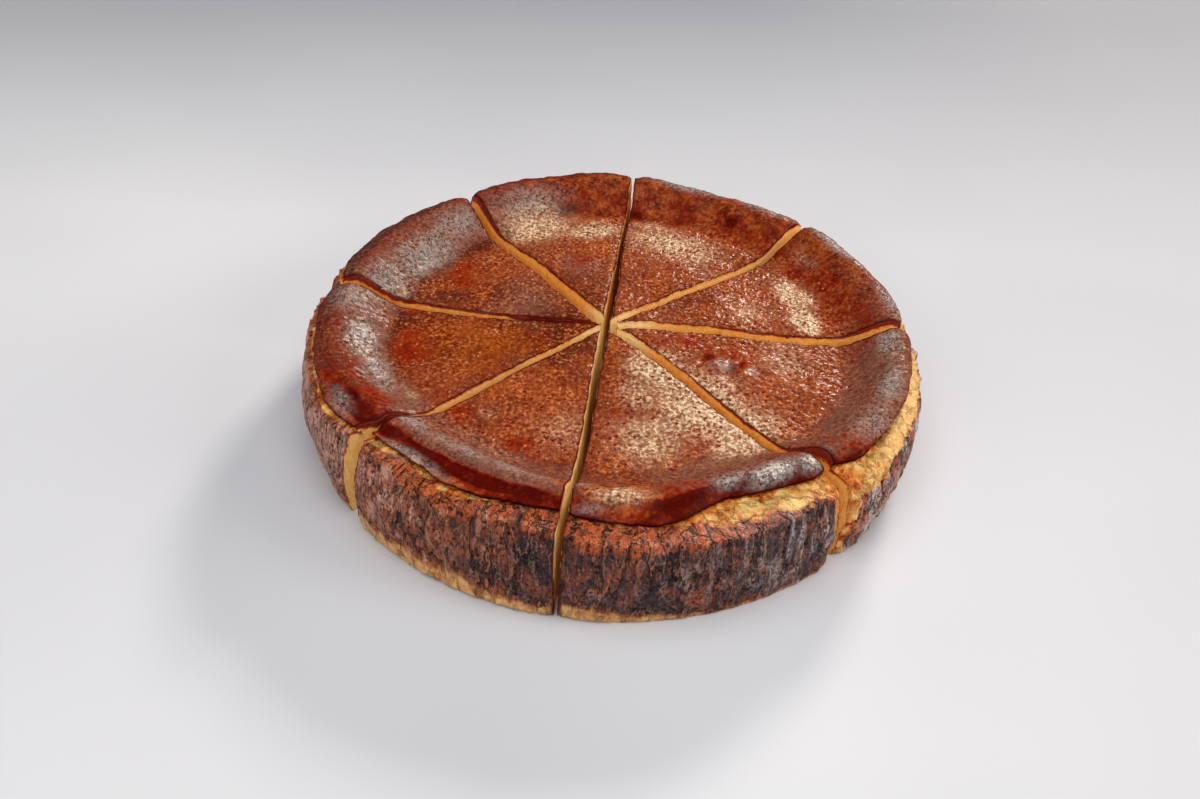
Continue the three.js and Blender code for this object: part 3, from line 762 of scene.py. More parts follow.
def section_rows(right, left, columns):
    """Every point of the slice outside its cut faces, as grids of rows from the tip's side outwards and
    down, and columns from the right face to the left one."""
    crest = outer_block(right, left, columns, roll_point, [0], 0.5, CORNER_SINK)
    crest_x, crest_y, crest_z = (values[0] for values in crest[:3])
    tip = tip_point(right, left, CENTRE_HEIGHT)
    tip_z = float(top_height(tip[0:1], tip[1:2])[0])

    shares = (np.arange(TOP_ROWS) + 1)[:, None] / TOP_ROWS
    top_x, top_y = lerp(tip[0], crest_x, shares), lerp(tip[1], crest_y, shares)
    sink = top_height(crest_x, crest_y) - crest_z
    top_z = top_height(top_x, top_y) - sink * shares**2
    blocks = [(top_x, top_y, top_z, azimuth_of(top_x, top_y))]

    side_shares = 1 - np.arange(SIDE_ROWS) / SIDE_ROWS
    for section, part, stand_back, sinking in (
        (roll_point, ROLL_SHARES, 0.5 + 0.4 * ROLL_SHARES, CORNER_SINK),
        (ledge_point, LEDGE_SHARES, 1, CORNER_SINK * (1 - LEDGE_SHARES)),
        (side_point, side_shares, lerp(0.5, 1, side_shares), 0),
        (foot_point, np.arange(FOOT_ROWS + 1) / FOOT_ROWS, 0.5, 0),
    ):
        blocks.append(outer_block(right, left, columns, section, part, stand_back, sinking))
    x, y, z, azimuth = (np.concatenate([block[index] for block in blocks]) for index in range(4))

    radius = np.hypot(x, y)
    path = np.hypot(np.diff(radius, axis=0), np.diff(z, axis=0))[TOP_ROWS - 1 :]
    unrolled = radius.copy()
    unrolled[TOP_ROWS:] = radius[TOP_ROWS - 1] + np.cumsum(path, axis=0)

    tilt = np.zeros(x.shape)
    tilt[TOP_ROWS:FIRST_LEDGE] = 80 * ROLL_SHARES[:, None] ** 1.3
    tilt[FIRST_LEDGE:FIRST_SIDE] = 45 + 40 * LEDGE_SHARES[:, None]
    tilt[FIRST_SIDE:] = 90
    from_lip = np.zeros(x.shape)
    from_lip[FIRST_LEDGE:FIRST_SIDE] = LEDGE_SHARES[:, None]
    from_lip[FIRST_SIDE:] = 1 + 0.1 * (z[FIRST_SIDE] - z[FIRST_SIDE:])
    return SimpleNamespace(
        x=x, y=y, z=z, azimuth=azimuth, radius=radius, unrolled=unrolled, tilt=np.radians(tilt),
        from_lip=from_lip, tip_top=np.array([*tip, tip_z]),
        tip_foot=np.array([*tip_point(right, left, 0.0), 0.0]),
    )


def add_relief(rows):
    """Moves the grid's points by their relief and returns what each point's finish needs to know."""
    skin, side = slice(0, FIRST_LEDGE), slice(FIRST_LEDGE, None)
    azimuth, unrolled = rows.azimuth, rows.unrolled
    turned = np.radians(azimuth)
    flat_x, flat_y = unrolled * np.cos(turned), unrolled * np.sin(turned)
    relief = np.zeros(azimuth.shape)
    facts = {name: np.zeros(azimuth.shape) for name in FACTS}
    for part, (found, known) in (
        (skin, skin_texture(flat_x[skin], flat_y[skin], azimuth[skin], unrolled[skin])),
        (side, side_texture(azimuth[side], rows.z[side], rows.from_lip[side])),
    ):
        relief[part] = found
        for name, values in known.items():
            facts[name][part] = values

    arc = turned * BASE_RADIUS
    rag = LIP_RAG * (2 * hills(arc, 0 * arc, 5, 137, 3) - 1.35)
    rag = rag + LIP_SCALLOP * (2 * hills(arc, 0 * arc, 17, 151) - 1) + ring_values(LIP_SHIFT, azimuth)[0]
    outwards = np.zeros(azimuth.shape)
    near_lip = smoothstep(ROLL_SHARES, 0.45, 1)[:, None]
    outwards[TOP_ROWS:FIRST_LEDGE] = rag[TOP_ROWS:FIRST_LEDGE] * near_lip
    under_lip = ((1 - LEDGE_SHARES) ** 2)[:, None]
    outwards[FIRST_LEDGE:FIRST_SIDE] = rag[FIRST_LEDGE:FIRST_SIDE] * under_lip
    # The lip's outer end and the ledge just under it are darkened: partly scorch, partly painted shade
    # under the lip
    facts["edge"][TOP_ROWS:FIRST_LEDGE] = smoothstep(ROLL_SHARES, 0.72, 1)[:, None]
    facts["edge"][FIRST_LEDGE] = 1

    radius = rows.radius + outwards + relief * np.sin(rows.tilt)
    rows.z += relief * np.cos(rows.tilt)
    rows.x, rows.y = radius * np.cos(turned), radius * np.sin(turned)
    return facts


def round_edge(rows, facts, face, column):
    """Rounds the skin's edge over beside one cut and darkens it. Returns the edge's points as they were
    and how far each of them stands back, which the cut face shares."""
    path = rows.unrolled[:, column]
    gap = lerp(face.tip_gap, face.rim_gap, path / BASE_RADIUS)
    stand_back = EDGE_ROUNDING * (0.3 + 1.4 * hills(path, 0 * path + 30 * face.side, 4, 139, 2))
    stand_back *= smoothstep(gap, 0.3, 2.2)
    distance = np.maximum(face.distance_to(rows.x, rows.y, rows.z), 0)
    edge = rows.x[:, column].copy(), rows.y[:, column].copy(), rows.z[:, column].copy()
    push = stand_back[:, None] * np.exp(-distance / EDGE_REACH)
    push = (push - closure(face, path)[:, None] * np.exp(-distance / CLOSURE_REACH)) * face.side
    drop = 0.8 * stand_back[:, None] * bell(distance / EDGE_REACH)
    drop *= smoothstep(rows.z, 0.0, 3.0)
    turned = np.radians(rows.azimuth)
    inwards = drop * np.sin(rows.tilt)
    rows.x = rows.x + face.normal[0] * push - inwards * np.cos(turned)
    rows.y = rows.y + face.normal[1] * push - inwards * np.sin(turned)
    rows.z -= drop * np.cos(rows.tilt)
    reach = EDGE_REACH * (0.8 + SCORCH_REACH * scorch(face, path))[:, None]
    facts["edge"] = np.maximum(facts["edge"], bell(distance / reach))
    return np.stack(edge, axis=1), stand_back


# How much of a cut face's foot lies below the rows of the top
TOP_SHARE = 0.86


def cut_face(face, profile, stand_back, tip_foot, path):
    """Points of one cut face below its profile: a grid of a line for each profile point, down to the
    slice's bottom edge, and how deep under the crust each point lies."""
    outer_path = path - path[TOP_ROWS - 1]
    inside = TOP_SHARE * (np.arange(TOP_ROWS) + 1) / TOP_ROWS
    outside = TOP_SHARE + (1 - TOP_SHARE) * outer_path[TOP_ROWS:] / outer_path[-1]
    shares = np.concatenate([inside, outside])
    foot = lerp(tip_foot, np.array([profile[-1, 0], profile[-1, 1], 0.0]), shares[:, None])
    levels = FACE_LEVELS[1:][None, :, None]
    points = lerp(profile[:-1, None, :], foot[:-1, None, :], levels)
    length = np.linalg.norm(foot[:-1] - profile[:-1], axis=1)[:, None]
    depth = length * FACE_LEVELS[None, 1:]
    rough = 0.5 * (hills(path[:-1, None] + 0 * depth, depth, 2.6, 149, 3) - 0.5)
    rough = rough * smoothstep(depth, 0, 1.5) * smoothstep(depth, length, 0.8 * length)
    away = stand_back[:-1, None] * np.exp(-depth / WEDGE_DEPTH) + rough
    away = away - closure(face, path)[:-1, None] * bell(depth / CLOSURE_REACH)
    away = away * face.side * smoothstep(path[:-1, None], 0, 8)
    points[..., 0] += face.normal[0] * away
    points[..., 1] += face.normal[1] * away
    burn = np.zeros(depth.shape)
    for azimuth, side, place, half_width, deep in BURNS:
        if azimuth == face.azimuth and side == face.side:
            reach = deep * bell((path[:-1, None] - place) / half_width)
            burnt = smoothstep(depth, reach + 0.3, 0.5 * reach) * smoothstep(reach, 0.2, 0.8)
            burn = np.maximum(burn, burnt)
    pale = smoothstep(path[:-1, None] + 0 * depth, 26, 8)
    pale = np.maximum(pale, PALE_CUTS.get(face.azimuth, 0) * smoothstep(depth, 22, 10))
    return points, {"depth": depth, "burn": burn, "pale": pale}


def row_stride(row):
    """How many rim columns one column of a top row spans, as the slice narrows towards its tip."""
    share = (row + 1) / TOP_ROWS
    for stride, least in ((1, 0.5), (2, 0.25), (4, 0.125)):
        if share >= least:
            return stride
    return 8


def slice_mesh(cut_right, cut_left):
    """Points, triangles, the kind of each triangle and the facts of each point of one slice."""
    right, left = Face(cut_right, 1), Face(cut_left, -1)
    spread = np.arange(RIM_COLUMNS + 1) / RIM_COLUMNS
    columns = spread - COLUMN_GATHERING * np.sin(2 * math.pi * spread) / (2 * math.pi)
    rows = section_rows(right, left, columns)
    facts = add_relief(rows)
    edges = [round_edge(rows, facts, face, column) for face, column in ((right, 0), (left, -1))]

    count = rows.x.shape[0]
    stacked = np.stack([rows.x, rows.y, rows.z], axis=2)
    points, kept_facts = [], {name: [] for name in FACTS}
    triangles, kinds = [], []

    def keep(line, known):
        """Adds points with what is known of them, 0 for the rest, and returns their numbers."""
        used = sum(len(kept) for kept in points)
        points.append(line)
        for name, kept in kept_facts.items():
            kept.append(known.get(name, np.zeros(len(line))))
        return used + np.arange(len(line))

    def add(kind, *corners):
        triangles.append(np.stack(corners, axis=1))
        kinds.append(np.full(len(corners[0]), kind))

    keep(rows.tip_top[None, :], {})
    numbers = []
    for row in range(count):
        kept = slice(None, None, row_stride(row))
        known = {name: values[row, kept] for name, values in facts.items()}
        numbers.append(keep(stacked[row, kept], known))
    first = numbers[0]
    add(SKIN, np.zeros(len(first) - 1, int), first[:-1], first[1:])
    for row in range(count - 1):
        kind = SKIN if row < FIRST_LEDGE else CRUST
        a, b = numbers[row][:-1], numbers[row][1:]
        below = numbers[row + 1]
        if len(below) == len(numbers[row]):
            c, d = below[:-1], below[1:]
            add(kind, a, c, d)
            add(kind, a, d, b)
        else:
            c, d, e = below[:-1:2], below[1::2], below[2::2]
            add(kind, a, c, d)
            add(kind, a, d, b)
            add(kind, b, d, e)

    tip_line = lerp(rows.tip_top, rows.tip_foot, FACE_LEVELS[1:, None])
    tip_numbers = keep(tip_line, {"depth": rows.tip_top[2] * FACE_LEVELS[1:]})
    bottoms = []
    for face, column, (profile, stand_back) in zip((right, left), (0, -1), edges):
        path = rows.unrolled[:, column]
        inner, known = cut_face(face, profile, stand_back, rows.tip_foot, path)
        grid = np.zeros((count + 1, len(FACE_LEVELS)), int)
        grid[0, 1:] = tip_numbers
        grid[1:, 0] = [line[column] for line in numbers]
        known = {name: values.ravel() for name, values in known.items()}
        grid[1:-1, 1:] = keep(inner.reshape(-1, 3), known).reshape(inner.shape[:2])
        grid[-1, 1:] = grid[-1, 0]
        a, b, c, d = (g.ravel() for g in (grid[:-1, :-1], grid[1:, :-1], grid[1:, 1:], grid[:-1, 1:]))
        corners = np.concatenate([np.stack([a, b, c], axis=1), np.stack([a, c, d], axis=1)])
        whole = (corners[:, 0] != corners[:, 1]) & (corners[:, 1] != corners[:, 2])
        whole &= corners[:, 0] != corners[:, 2]
        # the two faces look in opposite directions, so their triangles turn in opposite ways
        corners = corners[whole, :: -face.side]
        add(CURD, *corners.T)
        bottoms.append(grid[1:, -1])

    loop = np.concatenate([tip_numbers[-1:], bottoms[0], numbers[-1][1:-1], bottoms[1][::-1]])
    middle = np.concatenate(points)[loop].mean(axis=0) * (1, 1, 0)
    (number,) = keep(middle[None, :], {})
    add(CRUST, np.full(len(loop), number), np.roll(loop, -1), loop)

    points = np.concatenate(points)
    points[:, :2] += np.stack(wobble(points[:, 0], points[:, 1]), axis=1) - OUTLINE_CENTRE
    points[:, 2] = np.maximum(points[:, 2], 0)
    joined = {name: np.concatenate(values) for name, values in kept_facts.items()}
    return points * MM, np.concatenate(triangles), np.concatenate(kinds), joined


def make_slice(name, cut_right, cut_left, finishes):
    points, triangles, kinds, facts = slice_mesh(cut_right, cut_left)
    points = np.clip(points, np.array(cad_box[0]), np.array(cad_box[1]))
    mesh = bpy.data.meshes.new(name)
    mesh.vertices.add(len(points))
    mesh.vertices.foreach_set("co", points.astype(np.float32).ravel())
    mesh.loops.add(triangles.size)
    mesh.loops.foreach_set("vertex_index", triangles.astype(np.int32).ravel())
    mesh.polygons.add(len(triangles))
    mesh.polygons.foreach_set("loop_start", np.arange(0, triangles.size, 3, dtype=np.int32))
    mesh.polygons.foreach_set("material_index", kinds.astype(np.int32))
    mesh.update(calc_edges=True)
    mesh.shade_smooth()

    loop_edges = np.zeros(triangles.size, np.int32)
    mesh.loops.foreach_get("edge_index", loop_edges)
    lowest = np.full(len(mesh.edges), 9)
    highest = np.full(len(mesh.edges), -1)
    np.minimum.at(lowest, loop_edges, np.repeat(kinds, 3))
    np.maximum.at(highest, loop_edges, np.repeat(kinds, 3))
    mesh.edges.foreach_set("use_edge_sharp", lowest != highest)
    for fact, values in facts.items():
        attribute = mesh.attributes.new(fact, "FLOAT", "POINT")
        attribute.data.foreach_set("value", values.astype(np.float32))
    for finish in finishes:
        mesh.materials.append(finish)
    piece = bpy.data.objects.new(name, mesh)
    bpy.context.scene.collection.objects.link(piece)
    return piece


# ---- Finishes ----
def tint(red, green, blue):
    """A colour given as it looks on a screen, each part from 0 to 255."""
    parts = [value / 255 for value in (red, green, blue)]
    linear = [p / 12.92 if p <= 0.04045 else ((p + 0.055) / 1.055) ** 2.4 for p in parts]
    return (*linear, 1.0)


class Finish:
    """A material of nodes, with one short call for each kind of node and a tone laid on in steps."""

    def __init__(self, name):
        self.material = bpy.data.materials.new(name)
        self.material.use_nodes = True
        self.tree = self.material.node_tree
        self.tree.nodes.clear()
        self.shader = self.node("BsdfPrincipled")
        self.node("OutputMaterial", {"Surface": self.shader.outputs["BSDF"]})
        self.place = self.node("TexCoord").outputs["Object"]
        self.tone = None

    def feed(self, socket, value):
        if isinstance(value, bpy.types.NodeSocket):
            self.tree.links.new(value, socket)
        else:
            socket.default_value = value

    def set(self, name, value):
        self.feed(self.shader.inputs[name], value)

    def node(self, kind, inputs=None, **settings):
        node = self.tree.nodes.new(f"ShaderNode{kind}")
        for name, value in settings.items():
            setattr(node, name, value)
        for name, value in (inputs or {}).items():
            self.feed(node.inputs[name], value)
        return node

    def fact(self, name, *levels):
        """What the mesh says at each point, carried from levels to levels as fit does it."""
        value = self.node("Attribute", attribute_name=name).outputs["Fac"]
        return self.fit(value, *levels) if levels else value

    def stretched(self, scale, turn=0):
        inputs = {"Vector": self.place, "Rotation": (0, 0, math.radians(turn)), "Scale": scale}
        return self.node("Mapping", inputs).outputs["Vector"]

    def noise(self, size, detail=2, roughness=0.5, place=None):
        """Noise whose grains are about size millimetres across, from 0 to 1."""
        inputs = {"Vector": place or self.place, "Scale": 1 / (size * MM)}
        return self.node("TexNoise", {**inputs, "Detail": detail, "Roughness": roughness}).outputs["Fac"]

    def cells(self, size, place=None):
        inputs = {"Vector": place or self.place, "Scale": 1 / (size * MM)}
        return self.node("TexVoronoi", inputs).outputs["Distance"]

    def line(self, noise, level, half_width):
        """Thin lines where noise crosses a level."""
        away = self.math("ABSOLUTE", self.math("SUBTRACT", noise, level))
        return self.fit(away, 0, half_width, 1, 0)

    def math(self, operation, *values):
        node = self.node("Math", operation=operation)
        for socket, value in zip(node.inputs, values):
            self.feed(socket, value)
        return node.outputs[0]

    def sway(self, noise, amount, spread=0.2):
        """Noise within spread of 0.5 carried to within amount of 0."""
        return self.fit(noise, 0.5 - spread, 0.5 + spread, -amount, amount)

    def plus(self, total, *others):
        for value in others:
            total = self.math("ADD", total, value)
        return total

    def times(self, product, *others):
        for value in others:
            product = self.math("MULTIPLY", product, value)
        return product

    def fit(self, value, low, high, to_low=0, to_high=1):
        """Carries low to to_low and high to to_high, held at both ends."""
        inputs = {"Value": value, "From Min": low, "From Max": high, "To Min": to_low, "To Max": to_high}
        return self.node("MapRange", inputs).outputs["Result"]

    def ramp(self, value, *stops):
        """Colours along a value, each stop a place, red, green and blue."""
        node = self.node("ValToRGB", {"Fac": value})
        elements = node.color_ramp.elements
        while len(elements) < len(stops):
            elements.new(0.5)
        for element, (place, *colour) in zip(elements, stops):
            element.position = place
            element.color = tint(*colour)
        return node.outputs["Color"]

    def mix(self, share, first, second):
        inputs = {"Factor": share, "A": first, "B": second}
        return self.node("Mix", inputs, data_type="RGBA").outputs["Result"]

    def lay(self, share, *colour):
        """Lays a share of a colour over the tone."""
        self.tone = self.mix(share, self.tone, tint(*colour))

    def done(self, roughness, specular, height=None, depth=0):
        """The finished material, with a bump that is depth millimetres high where height is 1."""
        self.set("Base Color", self.tone)
        self.set("Roughness", roughness)
        self.set("Specular IOR Level", specular)
        if height is not None:
            bump = self.node("Bump", {"Strength": 1, "Distance": depth * MM, "Height": height})
            self.set("Normal", bump.outputs["Normal"])
        return self.material


def burnt_skin():
    """The glossy caramelised skin: mahogany and orange-brown, dark red at its edge, with dark red painted
    shade in its hollows, fine painted cream glints where it glitters and a painted grey sheen on its rim."""
    f = Finish("burnt_skin")
    broad = f.noise(9, 4, 0.6)
    fine = f.noise(2.6, 3, 0.6)
    grain = f.noise(1.4, 2, 0.65)
    wrinkles = f.noise(2, 4, 0.65)
    emboss_noise = f.noise(3.6, 4, 0.6)
    mottle = f.noise(5, 4, 0.6)
    patchy = f.fit(f.noise(13, 3), 0.38, 0.6, 0.5, 1)
    smooth = f.fact("dish", 0, 1, 1, 0)
    warm = f.plus(f.fact("warm"), f.sway(broad, 0.35), f.sway(fine, 0.35))
    red = f.plus(f.fact("red"), f.sway(wrinkles, 0.2, 0.15))
    plain = f.fit(red, 0.15, 0.6, 1, 0)
    f.tone = f.ramp(warm, (0, 84, 32, 20), (0.3, 106, 39, 18), (0.6, 122, 48, 14), (1, 142, 62, 15))
    f.lay(f.fact("leather", 0.3, 0.9, 0, 0.5), 168, 84, 46)
    f.lay(f.fact("mauve", 0.25, 0.95, 0, 0.9), 126, 80, 64)
    f.lay(f.fit(red, 0.15, 0.5), 140, 40, 12)
    f.lay(f.fit(red, 0.45, 0.95), 78, 9, 4)

    rim_warm = f.times(f.fact("warm", 0.2, 0.8), smooth, f.fit(red, 0.5, 0.85, 1, 0))
    f.lay(f.times(f.fit(mottle, 0.52, 0.6, 0, 0.8), rim_warm), 168, 78, 26)
    f.lay(f.times(f.fit(mottle, 0.4, 0.47, 0.8, 0), rim_warm), 80, 18, 8)
    soot = f.plus(f.fact("soot"), f.sway(wrinkles, 0.25, 0.15))
    f.lay(f.fit(soot, 0.2, 1, 0, 0.9), 70, 46, 42)
    # A painted grey sheen on the smooth rim, stronger on the wrinkles' tops, turning to a painted white
    # highlight where it is strongest
    painted_sheen = f.times(f.fact("painted_sheen"), f.fit(wrinkles, 0.4, 0.58, 0.45, 1.1))
    painted_sheen = f.times(painted_sheen, f.fit(grain, 0.36, 0.6, 0.7, 1.15))
    f.lay(f.fit(painted_sheen, 0.05, 0.8, 0, 0.85), 152, 144, 136)
    f.lay(f.fit(painted_sheen, 1.1, 1.9, 0, 0.8), 224, 212, 198)

    # Painted cream glints: a broad tan sheen where they gather, then cream points on the grain's raised
    # tops
    f.lay(f.fact("cream", 0, 0.9, 0, 0.8), 190, 146, 110)
    # Painted highlight on the raised tops of the grain in the leathery skin
    raised_highlight = f.times(f.fact("leather", 0, 0.8, 0.4, 0.7), f.fit(grain, 0.52, 0.66), patchy, plain)
    f.lay(raised_highlight, 218, 132, 76)
    glitter = f.times(f.fact("cream"), f.fit(grain, 0.49, 0.6))
    f.lay(f.fit(glitter, 0.1, 0.8, 0, 0.8), 234, 212, 176)
    # Painted glints on the small raised beads of the dish
    beads = f.times(f.fit(f.cells(3), 0.1, 0.2, 1, 0), f.fit(f.noise(7), 0.46, 0.56), f.fact("dish"))
    f.lay(f.times(beads, 0.55), 232, 178, 136)
    # Painted shade in the low parts of the grain, which the bump also lowers
    f.lay(f.times(f.fit(grain, 0.34, 0.46, 0.95, 0), patchy), 92, 22, 8)

    # Painted shade along the rim's wrinkle lines and a painted highlight just beside them, where the
    # sheen is painted
    embossed = f.times(f.fact("painted_sheen", 0.1, 0.5, 0.2, 0.9), smooth)
    f.lay(f.times(f.line(emboss_noise, 0.5, 0.03), embossed), 56, 24, 16)
    f.lay(f.times(f.line(emboss_noise, 0.555, 0.02), embossed, 0.5, plain), 214, 190, 172)
    # Painted dark red shade in the pits, which the bump also sinks
    pits = f.fit(f.cells(2.2, f.stretched((0.5, 1, 1), -45)), 0.16, 0.3, 1, 0)
    pits = f.times(pits, f.fit(f.noise(3.2, 1), 0.46, 0.54), f.fact("leather", 0.3, 0.7))
    f.lay(pits, 120, 22, 4)
    f.lay(f.fact("hollow_shade", 0.25, 0.7), 110, 18, 4)
    f.lay(f.fact("edge", 0.35, 0.9), 72, 12, 4)

    shine = f.plus(f.fact("leather", 0.1, 0.8, 0.06, 0.13), f.fit(painted_sheen, 0.1, 1.2, 0, 0.03))
    f.set("Coat Weight", f.times(shine, f.fit(red, 0.2, 0.8, 1, 0.2)))
    f.set("Coat Roughness", 0.15)
    pebbled = f.times(f.plus(f.times(f.cells(1.7), -0.5), grain), f.fact("leather", 0, 0.8, 0.8, 1.15))
    height = f.plus(pebbled, f.times(pits, -0.5), f.times(beads, 0.5), f.times(wrinkles, smooth, 0.9))
    return f.done(0.4, 0.0, height, 0.42)


def baked_crust():
    """The dull side and the torn ledge above it: charcoal to brown with golden curd where it tore."""
    f = Finish("baked_crust")
    upright = f.stretched((1, 1, 0.28))
    blotch = f.noise(11, 4, 0.6)
    streak = f.noise(2.2, 5, 0.65, upright)
    speck = f.noise(1.4, 3, 0.65)
    folds = f.noise(3.4, 4, 0.6, upright)
    creases = f.noise(10, 5, 0.6, upright)
    char = f.plus(f.fact("char"), f.sway(streak, 0.35), f.sway(blotch, 0.4))
    f.tone = f.ramp(
        char, (0, 208, 152, 132), (0.25, 170, 88, 50), (0.5, 124, 60, 38), (0.75, 78, 44, 42),
        (1, 44, 30, 38),
    )
    rust = f.times(f.fit(f.noise(9, 4, 0.6), 0.52, 0.6), f.fit(streak, 0.4, 0.6, 0.2, 1))
    f.lay(f.times(rust, 0.75), 156, 68, 30)
    orange = f.times(f.fact("orange"), f.fit(streak, 0.36, 0.58, 0.3, 1))
    f.lay(f.fit(orange, 0.1, 0.9, 0, 0.9), 200, 86, 20)
    band = f.times(f.fact("band"), f.fit(f.noise(4, 4, 0.6), 0.34, 0.6, 0.6, 1.2))
    f.lay(f.fit(band, 0.05, 0.6, 0, 0.8), 188, 98, 40)
    f.lay(f.fit(band, 0.45, 1, 0, 0.95), 250, 192, 116)
    # Painted highlight on the raised specks and on the raised folds and creases
    f.lay(f.fit(speck, 0.54, 0.64, 0, 0.3), 200, 126, 88)
    f.lay(f.fact("raised_highlight", 0.3, 1, 0, 0.45), 196, 160, 146)
    # Painted silver highlights on the folds
    silver_highlight = f.times(f.fact("silver_highlight"), f.fit(streak, 0.42, 0.56, 0.1, 1))
    f.lay(f.fit(silver_highlight, 0.1, 0.9, 0, 0.95), 218, 206, 204)

    dull = f.fit(band, 0.2, 0.7, 1, 0.2)
    # Painted shade in the hollows and low specks and along the fold and crease lines, with painted
    # highlights just beside those lines
    f.lay(f.times(f.fact("hollow_shade", 0.15, 0.7), dull), 36, 12, 10)
    f.lay(f.times(f.fit(speck, 0.34, 0.44, 0.6, 0), dull), 44, 12, 8)
    f.lay(f.times(f.line(folds, 0.5, 0.035), dull, 0.9), 34, 10, 8)
    f.lay(f.times(f.line(folds, 0.565, 0.025), 0.35), 206, 150, 120)
    f.lay(f.times(f.line(creases, 0.5, 0.02), dull, f.fit(char, 0, 0.5, 0.35, 1)), 28, 8, 8)
    f.lay(f.times(f.line(creases, 0.535, 0.014), 0.5), 204, 136, 100)
    pores = f.times(f.fit(f.cells(1.7), 0.12, 0.24, 1, 0), f.fit(f.noise(5), 0.48, 0.56))
    f.lay(f.times(pores, dull), 30, 10, 8)

    # The torn curd runs from dark orange in its low crumbs to cream on the raised ones: partly its own
    # toasting, partly painted shade and highlight
    crumb = f.plus(f.times(f.fact("crumb"), 0.4), f.fit(f.noise(3, 4, 0.6), 0.3, 0.7, 0, 0.7))
    pale = f.plus(f.fact("pale"), f.sway(blotch, 0.35, 0.15))
    torn = f.ramp(
        crumb, (0.2, 150, 40, 6), (0.38, 212, 98, 26), (0.56, 236, 142, 54), (0.85, 250, 196, 118)
    )
    cream = f.ramp(crumb, (0.2, 178, 76, 16), (0.42, 206, 132, 54), (0.8, 228, 190, 112))
    torn = f.mix(f.fit(pale, 0.1, 0.9), torn, cream)
    torn = f.mix(f.fact("pale", 0.9, 1.3, 0, 0.65), torn, tint(252, 198, 122))
    f.tone = f.mix(f.fact("torn"), f.tone, torn)
    f.lay(f.times(f.fact("edge", 0.35, 0.95), f.fact("torn", 0.3, 0.9, 0.9, 0.25)), 90, 16, 4)

    height = f.plus(f.times(f.cells(1.1, upright), -0.3), speck, f.times(folds, 1.6))
    height = f.plus(height, f.times(f.line(creases, 0.5, 0.03), -1))
    return f.done(f.fit(streak, 0.3, 0.7, 0.32, 0.55), 0.3, height, 0.8)


def cut_curd():
    """The cut faces: pale ochre curd, toasted just under the skin and towards the side."""
    f = Finish("cut_curd")
    crumb = f.noise(1.8, 4, 0.6)
    f.tone = f.ramp(crumb, (0.3, 232, 148, 56), (0.5, 244, 182, 84), (0.72, 250, 212, 126))
    f.lay(f.fact("pale"), 252, 226, 164)
    depth = f.plus(f.fact("depth"), f.sway(crumb, 0.5))
    f.lay(f.fit(depth, 0.4, 1.8, 1, 0), 222, 128, 48)
    f.lay(f.fit(depth, 0.2, 0.7, 1, 0), 110, 28, 8)
    burn = f.plus(f.fact("burn"), f.sway(crumb, 0.3))
    f.lay(f.fit(burn, 0.1, 0.5), 196, 78, 20)
    f.tone = f.mix(f.fit(burn, 0.45, 0.8), f.tone, f.ramp(crumb, (0.35, 70, 8, 4), (0.65, 140, 30, 8)))
    return f.done(0.6, 0.35, f.noise(0.9, 3), 0.25)


# ---- The cake ----
finishes = [burnt_skin(), baked_crust(), cut_curd()]
for index, cut in enumerate(CUTS):
    node = f"slice_{index + 1}"
    piece = make_slice(f"cake_{node}", cut, CUTS[(index + 1) % len(CUTS)], finishes)
    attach(piece, "root")
    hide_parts(node)

# ---- Floor, light and camera ----
CAMERA_AIM = (-3.05, 1.86, 0.0)
CAMERA_DISTANCE = 529.0
CAMERA_ELEVATION = 39.34
CAMERA_ROLL = 3.1
CAMERA_LENS = 38.87
SENSOR_WIDTH = 36.0


def direction(azimuth, elevation):
    """The way from the middle of the cake towards something seen at this azimuth and elevation."""
    around, up = math.radians(azimuth), math.radians(elevation)
    return Vector((math.cos(up) * math.cos(around), math.cos(up) * math.sin(around), math.sin(up)))


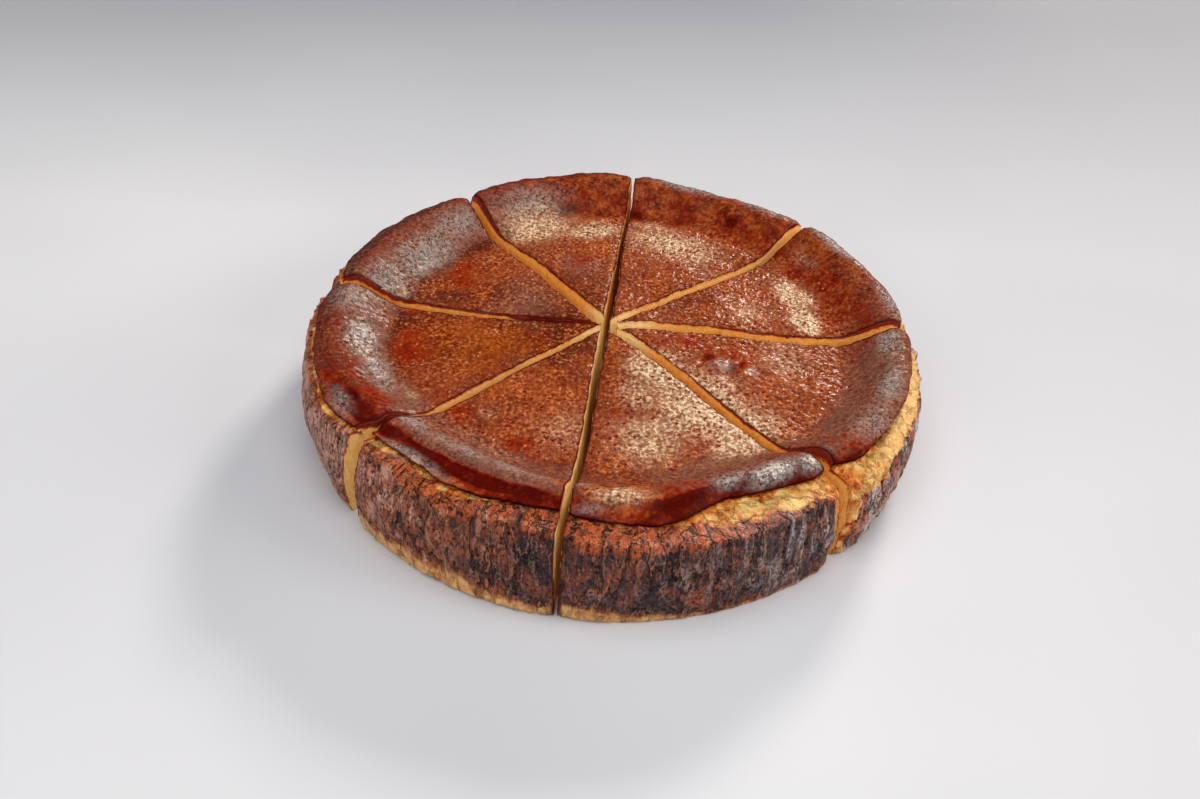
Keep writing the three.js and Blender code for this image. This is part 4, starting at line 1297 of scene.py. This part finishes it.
def pale_floor():
    """A pale floor with painted shade that darkens it a little far behind the cake and to its right."""
    f = Finish("pale_floor")
    place = f.node("SeparateXYZ", {"Vector": f.place}).outputs
    f.tone = f.ramp(f.noise(260), (0.3, 202, 201, 204), (0.7, 214, 213, 215))
    f.lay(f.fit(place["Y"], 0.13, 0.42, 0, 0.9), 150, 151, 158)
    f.lay(f.fit(place["X"], 0.06, 0.3, 0, 0.6), 190, 188, 190)
    bpy.ops.mesh.primitive_plane_add(size=6.0)
    floor = bpy.context.object
    floor.name = "floor"
    floor.data.materials.append(f.done(0.9, 0.0))


def soft_light(name, azimuth, elevation, distance, width, height, power, colour):
    data = bpy.data.lights.new(name, "AREA")
    data.shape = "RECTANGLE"
    data.size, data.size_y = width, height
    data.energy, data.color = power, colour
    light = bpy.data.objects.new(name, data)
    towards = direction(azimuth, elevation)
    light.location = towards * distance
    light.rotation_euler = towards.to_track_quat("Z", "Y").to_euler()
    bpy.context.scene.collection.objects.link(light)


def studio():
    world = bpy.data.worlds.new("studio")
    world.use_nodes = True
    background = world.node_tree.nodes["Background"]
    background.inputs["Color"].default_value = (0.9, 0.93, 1.0, 1.0)
    background.inputs["Strength"].default_value = 0.085
    bpy.context.scene.world = world
    soft_light("key", 66, 25, 4.0, 0.8, 0.6, 130, (1.0, 0.95, 0.87))
    soft_light("overhead", -90, 80, 1.3, 1.3, 1.1, 12, (0.97, 0.98, 1.0))
    soft_light("front_fill", -110, 32, 1.4, 0.9, 0.6, 5.5, (0.97, 0.98, 1.0))
    soft_light("right_fill", -12, 32, 1.2, 0.4, 0.5, 4.8, (1.0, 0.98, 0.95))


def camera():
    elevation, roll = math.radians(CAMERA_ELEVATION), math.radians(CAMERA_ROLL)
    back = Vector((0, -math.cos(elevation), math.sin(elevation)))
    right = Vector((1, 0, 0))
    up = back.cross(right)
    across = math.cos(roll) * right + math.sin(roll) * up
    upwards = math.cos(roll) * up - math.sin(roll) * right
    turn = Matrix((across, upwards, back)).transposed().to_4x4()
    data = bpy.data.cameras.new("camera")
    data.lens, data.sensor_width = CAMERA_LENS, SENSOR_WIDTH
    data.clip_start = 0.01
    eye = bpy.data.objects.new("camera", data)
    aim = Vector(CAMERA_AIM) * MM
    eye.matrix_world = Matrix.Translation(aim + back * CAMERA_DISTANCE * MM) @ turn
    bpy.context.scene.collection.objects.link(eye)
    bpy.context.scene.camera = eye


pale_floor()
studio()
camera()
bpy.context.scene.view_settings.view_transform = "Standard"
